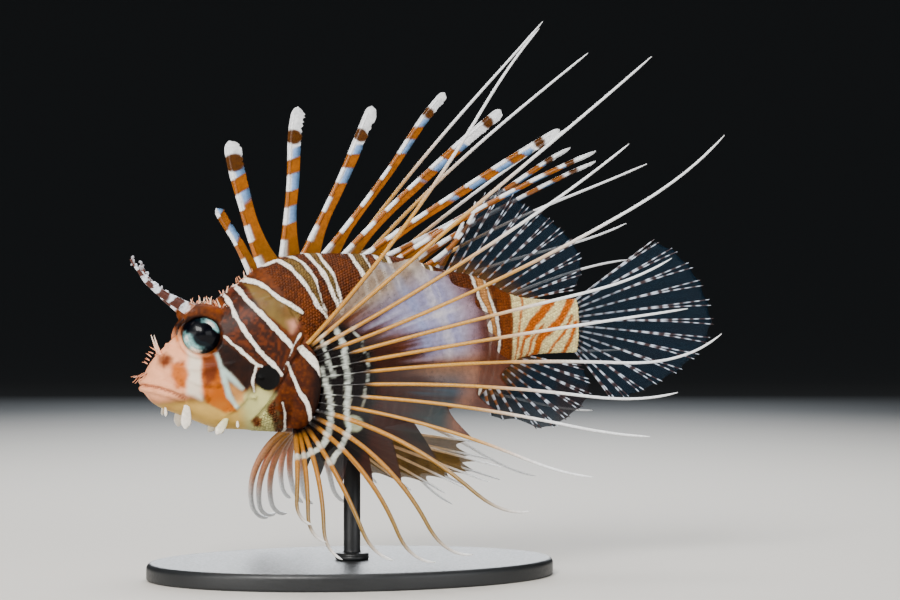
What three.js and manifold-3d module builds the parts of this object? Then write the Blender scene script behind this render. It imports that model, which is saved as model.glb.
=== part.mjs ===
// Spotfin lionfish, life size, held still on a plain display stand.
// Millimetres, +Z up. The head points to -X, and the fish's left flank is the -Y side.
// The origin is the centre of the stand base's underside.
import * as THREE from 'three';
import { mergeVertices } from 'three/addons/utils/BufferGeometryUtils.js';
import Module from 'manifold-3d';

const wasm = await Module();
wasm.setup();

// Clearance between neighbouring pieces.
const GAP = 0.3;
// Half the thickness of a fin membrane, and how deep a fin's root is sunk before it is trimmed.
const MEMBRANE = 0.27;
const ROOT_DEPTH = 1.2;

// Stand.
const BASE_LENGTH = 122;
const BASE_WIDTH = 82;
const BASE_HEIGHT = 5;
const ROD_RADIUS = 2.5;
const COLLAR_RADIUS = 5;
const ROD_LENGTH = 42;

// Body outline from lip to tail stem: place along X, top, bottom, half width.
const LIP = -62.6;
const BODY = [
  [LIP, 57.6, 57.4, 0],
  [-62, 59.4, 55.3, 2.6],
  [-60.9, 62.1, 53.8, 4.2],
  [-59.5, 64.3, 52.2, 5.4],
  [-57.5, 66.6, 50.9, 6.6],
  [-55, 69.2, 49.8, 7.7],
  [-51.5, 72.3, 48.5, 8.8],
  [-47.5, 76, 46.9, 9.8],
  [-43.5, 79.7, 45.3, 10.6],
  [-38.5, 84.1, 44.2, 11.4],
  [-33.5, 87.7, 44, 12.2],
  [-29, 91.2, 43.6, 12.8],
  [-22, 94.2, 43.2, 13.6],
  [-12.5, 95.8, 43, 14],
  [0, 95.7, 42.8, 13.8],
  [12, 95, 44.6, 12.6],
  [21.5, 92.9, 46.7, 10.9],
  [28, 91, 48.8, 9.3],
  [37, 89.3, 51.9, 7.2],
  [42.5, 86.8, 56.3, 5.9],
  [47.5, 84.2, 61.5, 5],
  [52, 82.8, 64.7, 4.4],
  [60, 82.1, 65.9, 3.7],
  [69.5, 82.3, 66.2, 3.1],
];
const TAIL_END = BODY[BODY.length - 1][0];
const HEAD_LENGTH = 45;
const STEM_CUT = 53;

// Rear edge of the head from the nape down to the throat, as [x, z], with the gill cover's point.
const GILL_EDGE = [
  [-31.5, 100], [-28, 90], [-21.5, 80], [-17.2, 71.5], [-20.5, 64.5],
  [-23.4, 58.5], [-26.8, 52.6], [-30.5, 47.5], [-36, 36],
];
// Gape of the mouth from lip to corner, and the rear of the lower jaw, as [x, z].
const GAPE = [[LIP - 6, 57.6], [LIP, 57.3], [-58.5, 56.6], [-54.5, 55.2], [-50.8, 53.4]];
const JAW_REAR = [[-49.2, 50], [-46.5, 46], [-45, 36]];

const EYE = { x: -46, y: 5.9, z: 71.6, across: 5.9, deep: 4.6 };
const BROW = { x: -44.8, y: 6.5, z: 77.3, long: 6.9, wide: 2.5, high: 3.7 };

// Short spines of the head: place as x, z, then length and lean upward in degrees.
const HEAD_SPINES = [
  [-35, 64.4, 3.4, 4],
  [-32, 60, 3.2, -10],
  [-33.4, 54.8, 3, -25],
  [-29.5, 82, 3.4, 20],
  [-38.5, 81.5, 3, 25],
];
// Skin flaps of the snout and cheek: root as x, z, reach and half width. The brow's stand along its
// crest: place from its middle, and rise.
const HEAD_FLAPS = [
  [-60.4, 63.6, [-1.8, 0.9, 1.6], 0.4],
  [-61.3, 60.8, [-4.4, 0.6, -2.4], 0.5],
  [-38.4, 47.8, [-3.1, 1.4, -5.2], 1.2],
  [-35.4, 47, [0.3, 0.8, -2.6], 0.5],
];
const BROW_FLAPS = [[-0.4, 3], [2.4, 4], [5, 3.2]];

// Tentacle over each eye as [x, distance from the middle, z] from its root on the brow to its tip.
const LEFT_TENTACLE = [
  [-48.4, 7, 78.6], [-53, 8.5, 81.1], [-57.6, 10, 83.7],
  [-62, 11.2, 86.9], [-65, 12, 90.6], [-67.3, 12.5, 93.7],
];
const RIGHT_TENTACLE = [
  [-48.4, 6.6, 78.4], [-53.2, 7.5, 82], [-56.7, 8.2, 84.9],
  [-59.5, 9, 87.9], [-60.9, 9.5, 90.8], [-61.5, 10, 93.2],
];

// Fleshy pectoral base and the arc that the pectoral rays grow from.
const SHOULDER = { x: -17.4, z: 56.6, long: 5, high: 12.6, stand: 1.9, topAngle: 80, endAngle: -98 };

// The pad itself: how far its front edge is set back and how long that edge's curve is, how much
// lower it is than the arc, its rise at the front edge and over the rays, and how deep it is sunk.
const PAD = { setBack: 3.6, long: 2.2, inset: 0.4, edge: 0.45, overRays: 1.15, sunk: 2.5 };

// Pectoral rays from the top one down: heading, length, bend, hook of the tip, reach sideways,
// and the share of the ray that the membrane follows. Angles are in degrees, upward from the tail.
const NEAR_PECTORAL = [
  [48, 112.8, 16, -15, 30, 0.26],
  [41, 129.7, -1, 2, 32, 0.3],
  [29, 108.1, 9, 2, 34, 0.36],
  [20, 135.1, 14, 15, 36, 0.33],
  [16, 104.8, -3, 20, 38, 0.42],
  [11, 105.2, -3, 1, 40, 0.44],
  [8, 115.4, -14, 49, 42, 0.45],
  [3, 98.9, -14, 27, 45, 0.5],
  [-2, 90, -14, 14, 48, 0.52],
  [-8, 74.9, -21, 24, 50, 0.54],
  [-14, 61, -42, 73, 54, 0.54],
  [-27, 53.8, -58, 98, 56, 0.5],
  [-40, 46.7, -51, 98, 58, 0.46],
  [-66, 38.6, -18, 75, 58, 0.42],
  [-81, 34.6, -31, 88, 56, 0.38],
  [-95, 30, -16, 99, 54, 0.36],
  [-105, 26, -7, 103, 50, 0.34],
];
const FAR_PECTORAL = [
  [55, 131.7, -11, 4, 32, 0.28],
  [50, 135.6, -15, 3, 34, 0.3],
  [42, 116, -10, -1, 36, 0.34],
  [36, 133.3, -20, 7, 38, 0.32],
  [31, 119.9, -24, 17, 40, 0.36],
  [16, 117, 4, -14, 42, 0.4],
  [12, 113, -20, 12, 44, 0.42],
  [3, 101.9, -22, 17, 46, 0.46],
  [-8, 88.1, -29, 26, 48, 0.5],
  [-20, 67.1, -31, 27, 52, 0.5],
  [-50, 40.5, -24, 66, 54, 0.48],
  [-76, 33.7, 4, 49, 54, 0.44],
  [-96, 31.3, 45, 17, 54, 0.42],
  [-106, 28.1, 53, 30, 52, 0.4],
  [-118, 34.2, 67, 55, 50, 0.38],
  [-127, 35.3, 73, 85, 48, 0.36],
  [-136, 35.8, 87, 48, 46, 0.34],
];

// Dorsal spines: place along the back, heading, length, bend, hook, lean sideways,
// and the width of the flag of skin behind the shaft.
const DORSAL_SPINES = [
  [-30.5, 113, 22.2, 12, -8, -1.5, 2.2],
  [-27.5, 110, 39.1, -11, 0, 2, 5.2],
  [-21.5, 83, 46, 7, -16, -2.5, 4.3],
  [-15.5, 62, 50.6, 5, 0, 3, 3.9],
  [-9.5, 50, 61.5, 10, -15, -4, 2.8],
  [-3.5, 46, 67.8, -8, 0, 5, 3.4],
  [2.5, 36, 71.4, -6, 0, -6, 3],
  [8, 23, 72.4, 14, -11, 12, 2.6],
  [13, 35, 67.5, -12, 0, -12.5, 2.4],
  [17.5, 32, 71, -10, 0, 16, 2.2],
  [21.5, 30, 25.5, 42, 17, -6.5, 1.9],
  [25, 48, 19, 16, 0, 4, 1.7],
];

// Membrane between the dorsal spines: its height, and how each flag widens down to it.
const SKIRT = { web: 5, wide: 4.2, fall: 6 };

// Soft fins: radius of their rays, distance of the pelvic roots from the middle, and the heading and
// length of each ray from the first to the last.
const SOFT_RAY = 0.7;
const PELVIC_SPREAD = 3.6;
const SOFT_DORSAL = [
  [62, 28.4], [60, 31], [55, 30.2], [50, 29], [46, 29.5], [42, 29.4],
  [38, 29.1], [33, 28.8], [27, 27.4], [20, 23.8], [13, 18.5],
];
const ANAL = [
  [-76, 9], [-66, 12.2], [-57, 14.4], [-50, 21.4], [-44, 24.8],
  [-38, 25.9], [-31, 27.3], [-24, 27.7], [-18, 25], [-12, 20.7],
];
const CAUDAL = [
  [37, 31.4], [30, 35.7], [22, 39], [15, 41.4], [8, 43.1], [2, 44.1], [-4, 42.8],
  [-10, 39.4], [-17, 34.8], [-25, 29.8], [-33, 25.8], [-41, 22], [-48, 18.5],
];
const LEFT_PELVIC = [[-47, 23.1], [-38, 30.9], [-31, 38.6], [-26, 42], [-21, 46.7], [-15, 47.4]];
const RIGHT_PELVIC = [[-33, 32.2], [-28, 43.4], [-23, 52.2], [-18, 60], [-13, 54.3], [-8, 51]];

const COLOURS = {
  flesh: [0x9a5236, 0.55],
  fin: [0x5e4a52, 0.6],
  spine: [0xc08a5c, 0.5],
  eye: [0x1c1a22, 0.15],
  stand: [0x2b2d30, 0.5],
};

const radians = THREE.MathUtils.degToRad;
const lerp = THREE.MathUtils.lerp;
const vec = (x, y, z) => new THREE.Vector3(x, y, z);

// A small repeatable random source, so that like pieces differ as real ones do.
let seed = 7;
function chance() {
  seed = (seed * 16807) % 2147483647;
  return seed / 2147483647;
}

// Body surface

// The outline is eased in the square root of the distance from the lip, which rounds the snout.
const stations = BODY.map((row) => Math.sqrt(row[0] - LIP));
function slopeAt(column, k) {
  const rise = (i) => (BODY[i + 1][column] - BODY[i][column]) / (stations[i + 1] - stations[i]);
  if (k === 0) return rise(0);
  if (k === BODY.length - 1) return rise(k - 1);
  const before = rise(k - 1);
  const after = rise(k);
  return before * after <= 0 ? 0 : (2 * before * after) / (before + after);
}
function along(column, x) {
  const q = Math.sqrt(Math.max(0, x - LIP));
  let i = 0;
  while (i < BODY.length - 2 && q > stations[i + 1]) i += 1;
  const step = stations[i + 1] - stations[i];
  const t = (q - stations[i]) / step;
  const start = BODY[i][column];
  const end = BODY[i + 1][column];
  const leave = slopeAt(column, i) * step;
  const arrive = slopeAt(column, i + 1) * step;
  return start * (1 + 2 * t) * (1 - t) ** 2 + leave * t * (1 - t) ** 2
    + end * t * t * (3 - 2 * t) + arrive * t * t * (t - 1);
}
function section(x) {
  const top = along(1, x);
  const bottom = along(2, x);
  const back = Math.min(1, Math.max(0, (x - LIP) / HEAD_LENGTH));
  return {
    top,
    bottom,
    half: along(3, x),
    mid: bottom + (top - bottom) * (0.44 + 0.08 * back),
    power: 2.3 - 0.3 * back,
  };
}
// Half width of the body at a place on its side.
function flank(x, z) {
  const s = section(x);
  const reach = z > s.mid ? (z - s.mid) / (s.top - s.mid) : (s.mid - z) / (s.mid - s.bottom);
  return s.half * (1 - Math.min(1, reach) ** s.power) ** (1 / s.power);
}
// Height of the belly at a distance from the middle.
function belly(x, y) {
  const s = section(x);
  return s.mid - (s.mid - s.bottom) * (1 - Math.min(1, Math.abs(y) / s.half) ** s.power) ** (1 / s.power);
}

function bodySlices() {
  const places = [0.06, 0.25, 0.6, 1.15, 1.9, 2.9].map((d) => LIP + d);
  for (let x = LIP + 4.2; x < -22; x += 2.25) places.push(x);
  for (let x = -21; x < TAIL_END - 1; x += 4.5) places.push(x);
  places.push(TAIL_END);
  return places;
}

// The whole body as one closed skin, swollen by grow on every side.
function bodyGeometry(grow, around) {
  const positions = [LIP - grow, 0, 57.5];
  const places = bodySlices();
  for (const x of places) {
    const s = section(x);
    const stretched = x >= TAIL_END ? x + grow : x;
    for (let j = 0; j < around; j += 1) {
      const a = (2 * Math.PI * j) / around;
      const c = Math.cos(a);
      const r = Math.sin(a);
      const side = Math.sign(c) * Math.abs(c) ** (2 / s.power);
      const rise = Math.sign(r) * Math.abs(r) ** (2 / s.power);
      const tall = rise > 0 ? s.top - s.mid : s.mid - s.bottom;
      positions.push(stretched, side * (s.half + grow), s.mid + rise * (tall + grow));
    }
  }
  positions.push(TAIL_END + grow, 0, section(TAIL_END).mid);
  const index = [];
  const ring = (k, j) => 1 + k * around + (j % around);
  const last = 1 + places.length * around;
  for (let j = 0; j < around; j += 1) {
    index.push(0, ring(0, j + 1), ring(0, j));
    for (let k = 0; k < places.length - 1; k += 1) {
      index.push(ring(k, j), ring(k, j + 1), ring(k + 1, j + 1));
      index.push(ring(k, j), ring(k + 1, j + 1), ring(k + 1, j));
    }
    index.push(ring(places.length - 1, j), ring(places.length - 1, j + 1), last);
  }
  return meshOf(positions, index);
}

// Geometry and solids

function meshOf(positions, index) {
  const geometry = new THREE.BufferGeometry();
  geometry.setAttribute('position', new THREE.Float32BufferAttribute(positions, 3));
  geometry.setIndex(index);
  return geometry;
}

function volumeOf(geometry) {
  const p = geometry.getAttribute('position');
  const index = geometry.getIndex();
  const corner = (i) => vec(0, 0, 0).fromBufferAttribute(p, index.getX(i));
  let sum = 0;
  for (let i = 0; i < index.count; i += 3) {
    sum += corner(i).dot(corner(i + 1).cross(corner(i + 2))) / 6;
  }
  return sum;
}

function solid(source) {
  const geometry = source.clone();
  geometry.deleteAttribute('normal');
  geometry.deleteAttribute('uv');
  const merged = mergeVertices(geometry, 1e-4);
  if (volumeOf(merged) < 0) {
    const order = merged.getIndex();
    for (let i = 0; i < order.count; i += 3) {
      const swap = order.getX(i + 1);
      order.setX(i + 1, order.getX(i + 2));
      order.setX(i + 2, swap);
    }
  }
  return new wasm.Manifold(new wasm.Mesh({
    numProp: 3,
    vertProperties: new Float32Array(merged.getAttribute('position').array),
    triVerts: new Uint32Array(merged.getIndex().array),
  }));
}

function fuse(pieces) {
  return pieces.reduce((whole, piece) => whole.add(piece));
}

function largest(whole) {
  return whole.decompose().sort((a, b) => b.volume() - a.volume())[0];
}

function geometryOf(whole) {
  const mesh = largest(whole).getMesh();
  return meshOf(Array.from(mesh.vertProperties), Array.from(mesh.triVerts));
}

// An upright prism through the whole width, from an outline given as [x, z].
function prism(outline) {
  const shape = new THREE.Shape(outline.map(([x, z]) => new THREE.Vector2(x, z)));
  const depth = 60;
  const geometry = new THREE.ExtrudeGeometry(shape, { depth, bevelEnabled: false });
  geometry.rotateX(Math.PI / 2);
  geometry.translate(0, depth / 2, 0);
  return solid(geometry);
}

function smooth(points, count) {
  const curve = new THREE.SplineCurve(points.map(([x, z]) => new THREE.Vector2(x, z)));
  return curve.getPoints(count).map((p) => [p.x, p.y]);
}

function ellipsoid(centre, radii, turn = [0, 0, 0], detail = [12, 7]) {
  const geometry = new THREE.SphereGeometry(1, detail[0], detail[1]);
  geometry.scale(...radii);
  geometry.applyMatrix4(new THREE.Matrix4().makeRotationFromEuler(new THREE.Euler(...turn.map(radians))));
  geometry.translate(...centre);
  return geometry;
}

// A bar that follows points, with a half width and half thickness at each and a point or cap at its ends.
function bar(points, widths, thicks, across, sides = 6) {
  const positions = [];
  const count = points.length;
  points.forEach((p, k) => {
    const ahead = points[Math.min(k + 1, count - 1)].clone().sub(points[Math.max(k - 1, 0)]).normalize();
    const up = vec(0, 0, 0).crossVectors(across, ahead).normalize();
    const side = vec(0, 0, 0).crossVectors(ahead, up).normalize();
    for (let j = 0; j < sides; j += 1) {
      const a = (2 * Math.PI * j) / sides;
      const rim = p.clone().addScaledVector(side, widths[k] * Math.cos(a));
      rim.addScaledVector(up, thicks[k] * Math.sin(a));
      positions.push(rim.x, rim.y, rim.z);
    }
  });
  const caps = [points[0], points[count - 1]];
  caps.forEach((p) => positions.push(p.x, p.y, p.z));
  const index = [];
  const at = (k, j) => k * sides + (j % sides);
  for (let j = 0; j < sides; j += 1) {
    index.push(count * sides, at(0, j + 1), at(0, j));
    index.push(count * sides + 1, at(count - 1, j), at(count - 1, j + 1));
    for (let k = 0; k < count - 1; k += 1) {
      index.push(at(k, j), at(k, j + 1), at(k + 1, j + 1), at(k, j), at(k + 1, j + 1), at(k + 1, j));
    }
  }
  return meshOf(positions, index);
}

function spline(points, count) {
  return new THREE.CatmullRomCurve3(points.map((p) => vec(...p))).getPoints(count);
}

// Fins

// The line of a ray or spine: it starts at root, holds a heading that bends and hooks at the tip,
// and leans from the root's y to the tip's y.
function rayLine(root, heading, length, bend, hook, tipY, steps = 24) {
  const line = [root.clone()];
  const at = root.clone();
  for (let i = 0; i < steps; i += 1) {
    const s = (i + 0.5) / steps;
    const turn = radians(heading + bend * s + hook * Math.max(0, (s - 0.72) / 0.28) ** 1.5);
    at.x += (length / steps) * Math.cos(turn);
    at.z += (length / steps) * Math.sin(turn);
    const y = lerp(root.y, tipY, ((i + 1) / steps) ** 0.9);
    line.push(vec(at.x, y, at.z));
  }
  return line;
}

function onLine(line, t) {
  const place = Math.min(Math.max(t, 0), 1) * (line.length - 1);
  const i = Math.min(Math.floor(place), line.length - 2);
  return line[i].clone().lerp(line[i + 1], place - i);
}

// A fin as one closed body. Each ray is {line, reach, radius, front, rear}: the membrane follows the
// ray to its reach, and radius, front and rear give the half thickness and the widths at a share of
// the length. Past its reach the ray runs on alone to a point, with rings at the shares in freeAt.
// rootNormal, where given, turns the root's thickness so that it lies flat against what it grows from.
function finGeometry(rays, { webRows = 4, freeAt = [0.5], scallop = 0.86, flat = false, rootNormal = null }) {
  const positions = [];
  const push = (p) => positions.push(p.x, p.y, p.z) / 3 - 1;
  const index = [];
  const quad = (a, b, c, d) => index.push(a, b, c, a, c, d);
  const rows = rays.map((ray) => {
    const marks = [];
    for (let k = 0; k <= webRows; k += 1) marks.push(onLine(ray.line, (ray.reach * k) / webRows));
    return marks;
  });
  const frames = rays.map((ray, i) => rows[i].map((centre, k) => {
    const before = rows[Math.max(i - 1, 0)][k];
    const after = rows[Math.min(i + 1, rays.length - 1)][k];
    const across = after.clone().sub(before);
    if (flat) across.y = 0;
    across.normalize();
    const t = (ray.reach * k) / webRows;
    const ahead = onLine(ray.line, t + 0.02).sub(onLine(ray.line, t - 0.02)).normalize();
    const normal = vec(0, 0, 0).crossVectors(across, ahead);
    const spread = Math.max(normal.length(), 0.45);
    if (k === 0 && rootNormal) normal.copy(rootNormal).addScaledVector(across, -rootNormal.dot(across));
    normal.normalize();
    const gaps = [before, after].map((p) => p.distanceTo(centre));
    const room = gaps.map((g) => 0.36 * (g > 0 ? g : Infinity));
    const front = Math.min(ray.front(t) / spread, room[0]);
    const rear = Math.min(ray.rear(t) / spread, room[1]);
    const lift = Math.min(ray.radius(t), 0.5 * Math.min(...gaps.filter((g) => g > 0)) + 0.3);
    return { centre, across, normal, front, rear, lift };
  }));
  const top = [];
  const bottom = [];
  const columnPair = (points, normals, halves) => {
    top.push(points.map((p, k) => push(p.clone().addScaledVector(normals[k], halves[k]))));
    bottom.push(points.map((p, k) => push(p.clone().addScaledVector(normals[k], -halves[k]))));
  };
  const thin = new Array(webRows + 1).fill(MEMBRANE);
  rays.forEach((ray, i) => {
    const own = frames[i];
    const normals = own.map((f) => f.normal);
    columnPair(own.map((f) => f.centre.clone().addScaledVector(f.across, -f.front)), normals, thin);
    columnPair(own.map((f) => f.centre), normals, own.map((f) => f.lift));
    columnPair(own.map((f) => f.centre.clone().addScaledVector(f.across, f.rear)), normals, thin);
    if (i === rays.length - 1) return;
    const next = rays[i + 1];
    const between = own.map((f, k) => {
      const share = (k / webRows) * (1 - (1 - scallop) * (k / webRows) ** 2);
      return onLine(ray.line, ray.reach * share).lerp(onLine(next.line, next.reach * share), 0.5);
    });
    columnPair(between, own.map((f, k) => f.normal.clone().add(frames[i + 1][k].normal).normalize()), thin);
  });
  const lastColumn = top.length - 1;
  for (let c = 0; c < lastColumn; c += 1) {
    for (let k = 0; k < webRows; k += 1) {
      quad(top[c][k], top[c + 1][k], top[c + 1][k + 1], top[c][k + 1]);
      quad(bottom[c][k + 1], bottom[c + 1][k + 1], bottom[c + 1][k], bottom[c][k]);
    }
    quad(top[c][0], bottom[c][0], bottom[c + 1][0], top[c + 1][0]);
    const betweenRays = c % 4 >= 2;
    if (betweenRays) quad(top[c + 1][webRows], bottom[c + 1][webRows], bottom[c][webRows], top[c][webRows]);
  }
  for (let k = 0; k < webRows; k += 1) {
    quad(top[0][k], top[0][k + 1], bottom[0][k + 1], bottom[0][k]);
    quad(top[lastColumn][k], bottom[lastColumn][k], bottom[lastColumn][k + 1], top[lastColumn][k + 1]);
  }
  rays.forEach((ray, i) => {
    const edge = (column) => column[webRows];
    const left = [edge(top[4 * i]), edge(bottom[4 * i])];
    const crest = [edge(top[4 * i + 1]), edge(bottom[4 * i + 1])];
    const right = [edge(top[4 * i + 2]), edge(bottom[4 * i + 2])];
    let normal = frames[i][webRows].normal.clone();
    let ring = null;
    for (const share of freeAt) {
      const t = lerp(ray.reach, 1, share);
      const centre = onLine(ray.line, t);
      const ahead = onLine(ray.line, t + 0.02).sub(onLine(ray.line, t - 0.02)).normalize();
      const across = vec(0, 0, 0).crossVectors(ahead, normal).normalize();
      if (flat) across.setY(0).normalize();
      normal = vec(0, 0, 0).crossVectors(across, ahead).normalize();
      const next = [
        push(centre.clone().addScaledVector(across, -ray.front(t))),
        push(centre.clone().addScaledVector(normal, ray.radius(t))),
        push(centre.clone().addScaledVector(across, ray.rear(t))),
        push(centre.clone().addScaledVector(normal, -ray.radius(t))),
      ];
      if (ring) {
        for (let j = 0; j < 4; j += 1) quad(ring[j], ring[(j + 1) % 4], next[(j + 1) % 4], next[j]);
      } else {
        quad(left[0], crest[0], next[1], next[0]);
        quad(crest[0], right[0], next[2], next[1]);
        quad(right[1], crest[1], next[3], next[2]);
        quad(crest[1], left[1], next[0], next[3]);
        index.push(left[0], next[0], left[1], right[0], right[1], next[2]);
      }
      ring = next;
    }
    const tip = push(ray.line[ray.line.length - 1]);
    for (let j = 0; j < 4; j += 1) index.push(ring[j], ring[(j + 1) % 4], tip);
  });
  return meshOf(positions, index);
}

// Taper of a plain ray or spine from its base radius to a fine tip.
const taper = (radius, tipShare = 0.35) => (t) => radius * (1 - (1 - tipShare) * t ** 1.6);
const PECTORAL_RAY = 0.78;

function pectoralFin(rows, side) {
  const rays = rows.map(([heading, length, bend, hook, out, reach], i) => {
    const angle = radians(lerp(SHOULDER.topAngle, SHOULDER.endAngle, i / (rows.length - 1)));
    const x = SHOULDER.x + (SHOULDER.long + GAP) * Math.cos(angle);
    const z = SHOULDER.z + (SHOULDER.high + GAP) * Math.sin(angle);
    const root = vec(x, side * (flank(x, z) + SHOULDER.stand), z);
    const radius = taper(PECTORAL_RAY);
    return {
      line: rayLine(root, heading, length, bend, hook, side * out),
      reach,
      radius,
      front: radius,
      rear: radius,
    };
  });
  const freeAt = [0.22, 0.45, 0.67, 0.85];
  return finGeometry(rays, { freeAt, scallop: 0.8, rootNormal: vec(0, -1, 0) });
}

// The fleshy pad on the flank that the pectoral rays grow from. Its rim stands off the body.
function pectoralBase(side) {
  const rows = 18;
  const shares = [0, 0.3, 0.65, 1];
  const outer = [];
  const inner = [];
  const positions = [];
  const push = (p) => positions.push(p.x, p.y, p.z) / 3 - 1;
  for (let i = 0; i <= rows; i += 1) {
    const angle = radians(lerp(SHOULDER.topAngle, SHOULDER.endAngle, i / rows));
    const rim = [SHOULDER.x + SHOULDER.long * Math.cos(angle), SHOULDER.z + SHOULDER.high * Math.sin(angle)];
    const fore = [
      SHOULDER.x - PAD.setBack + PAD.long * Math.cos(angle),
      SHOULDER.z + (SHOULDER.high - PAD.inset) * Math.sin(angle),
    ];
    const place = shares.map((s) => [lerp(fore[0], rim[0], s), lerp(fore[1], rim[1], s)]);
    outer.push(place.map(([x, z], j) => {
      const rise = lerp(PAD.edge, SHOULDER.stand + PAD.overRays, Math.sin((shares[j] * Math.PI) / 2));
      return push(vec(x, side * (flank(x, z) + rise), z));
    }));
    inner.push(place.map(([x, z]) => push(vec(x, side * Math.max(flank(x, z) - PAD.sunk, 0.5), z))));
  }
  const index = [];
  const quad = (a, b, c, d) => index.push(a, b, c, a, c, d);
  const last = shares.length - 1;
  for (let i = 0; i < rows; i += 1) {
    for (let j = 0; j < last; j += 1) {
      quad(outer[i][j], outer[i + 1][j], outer[i + 1][j + 1], outer[i][j + 1]);
      quad(inner[i][j + 1], inner[i + 1][j + 1], inner[i + 1][j], inner[i][j]);
    }
    quad(outer[i][last], outer[i + 1][last], inner[i + 1][last], inner[i][last]);
    quad(inner[i][0], inner[i + 1][0], outer[i + 1][0], outer[i][0]);
  }
  for (let j = 0; j < last; j += 1) {
    quad(outer[0][j], outer[0][j + 1], inner[0][j + 1], inner[0][j]);
    quad(outer[rows][j + 1], outer[rows][j], inner[rows][j], inner[rows][j + 1]);
  }
  return meshOf(positions, index);
}

function spinyDorsal() {
  const rays = DORSAL_SPINES.map(([x, heading, length, bend, hook, lean, flag], i) => {
    const root = vec(x, 0, along(1, x) - ROOT_DEPTH);
    const shaft = taper(0.95, 0.3);
    const wide = i < DORSAL_SPINES.length - 1 ? SKIRT.wide : 0;
    const skirt = (t) => wide * Math.exp(-Math.max(0, t * length - SKIRT.web) / SKIRT.fall);
    const flagWidth = (t) => flag * lerp(0.6, 1.05, t) + skirt(t);
    return {
      line: rayLine(root, heading, length, bend, hook, lean),
      reach: (ROOT_DEPTH + SKIRT.web) / length,
      radius: shaft,
      front: (t) => 0.8 * shaft(t),
      rear: (t) => flagWidth(t) * Math.min(1, 0.25 + (1 - t) * 8),
    };
  });
  const freeAt = [0.09, 0.26, 0.52, 0.8, 0.96];
  return finGeometry(rays, { webRows: 2, freeAt, scallop: 0.5, flat: true });
}

// A soft median or paired fin whose rays start evenly along a line of roots.
function softFin(rows, rootAt, options) {
  const { tipY = () => 0, reach = 0.86, spines = 0, spineReach = 0.7, bend = 0 } = options;
  const rays = rows.map(([heading, length], i) => {
    const share = i / (rows.length - 1);
    const isSpine = i < spines;
    const width = taper(isSpine ? SOFT_RAY * 1.25 : SOFT_RAY, 0.4);
    return {
      line: rayLine(rootAt(share), heading, length, bend, 0, tipY(share, length)),
      reach: isSpine ? spineReach : reach,
      radius: width,
      front: width,
      rear: width,
    };
  });
  return finGeometry(rays, { webRows: 2, scallop: 0.93 });
}

function pelvicFin(rows, side) {
  const rootAt = (share) => {
    const x = lerp(-10.5, -4, share);
    return vec(x, side * PELVIC_SPREAD, belly(x, PELVIC_SPREAD) + ROOT_DEPTH);
  };
  const tipY = (share, length) => side * (6 + 0.2 * length);
  return softFin(rows, rootAt, { tipY, spines: 1, spineReach: 0.8, reach: 0.84 });
}

// Head

const mirrored = (make) => [-1, 1].map(make);

function headExtras(side) {
  const y = (value) => side * value;
  const onSide = (x, z, sink = 0) => vec(x, y(flank(x, z) - sink), z);
  const across = vec(0, 0, 1);
  const parts = [];
  // Brow over the eye and the raised rim round the eye.
  parts.push(ellipsoid([BROW.x, y(BROW.y), BROW.z], [BROW.long, BROW.wide, BROW.high], [0, 8, 0]));
  const rim = new THREE.TorusGeometry(EYE.across + 0.35, 0.95, 5, 18);
  rim.rotateX(Math.PI / 2);
  rim.rotateX(radians(side * 20));
  rim.rotateZ(radians(side * 11));
  rim.translate(EYE.x, y(7.7), EYE.z);
  parts.push(rim);
  // Ridge under the eye, ending in two short spines, and the ridge of the gill cover's front edge.
  const ridges = [
    { line: [[-58, 62.6], [-53, 62.6], [-47, 62.2], [-40, 63], [-33.5, 64.6]], across },
    { line: [[-33.4, 67], [-31.6, 61], [-33, 55], [-37.4, 50], [-42.5, 47.6]], across: vec(1, 0, 0) },
  ];
  for (const ridge of ridges) {
    const crest = ridge.line.map(([x, z]) => onSide(x, z, 0.25));
    parts.push(bar(crest, [0.5, 1, 1.1, 1, 0.45], [0.5, 0.9, 1, 0.9, 0.45], ridge.across, 5));
  }
  for (const [x, z, length, lean] of HEAD_SPINES) {
    const root = onSide(x, z, 1);
    const angle = radians(lean);
    const tip = root.clone().add(vec(length * Math.cos(angle), y(1.7), length * Math.sin(angle)));
    const sizes = [0.9, 0.6, 0.12];
    parts.push(bar([root, root.clone().lerp(tip, 0.5), tip], sizes, sizes, across, 4));
  }
  // Upper jaw plate at the corner of the mouth, and the upper lip.
  const plate = [-54.2, y(flank(-54.2, 56.6) - 0.35), 56.7];
  parts.push(ellipsoid(plate, [4.6, 1.1, 1.75], [0, 22, side * 14], [9, 6]));
  // Nostril tube with its cirrus, and the rear nostril.
  const nose = onSide(-57, 65, 0.5);
  parts.push(bar([nose, nose.clone().add(vec(-0.6, y(0.7), 1.6))], [1, 0.8], [1, 0.8], across, 6));
  const cirrus = [nose, nose.clone().add(vec(-0.8, y(0.9), 4)), nose.clone().add(vec(-1.9, y(1.4), 7.6))];
  parts.push(bar(cirrus, [0.7, 0.55, 0.15], [0.45, 0.4, 0.15], vec(1, 0, 0), 4));
  parts.push(bar([onSide(-54.6, 68.6, 0.6), onSide(-54.6, 68.6, -0.7)], [0.95, 0.7], [0.95, 0.7], across, 6));
  // Small flaps on the snout, brow and lower edge of the cheek.
  for (const [x, z, [dx, dy, dz], width] of HEAD_FLAPS) {
    parts.push(leaf(onSide(x, z, 0.9), vec(dx, y(dy), dz), width));
  }
  for (const [dx, rise] of BROW_FLAPS) {
    const root = vec(BROW.x + dx, y(BROW.y), BROW.z + BROW.high - 1.4);
    parts.push(leaf(root, vec(1.2, y(0.8), rise), 0.5));
  }
  return parts;
}

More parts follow.
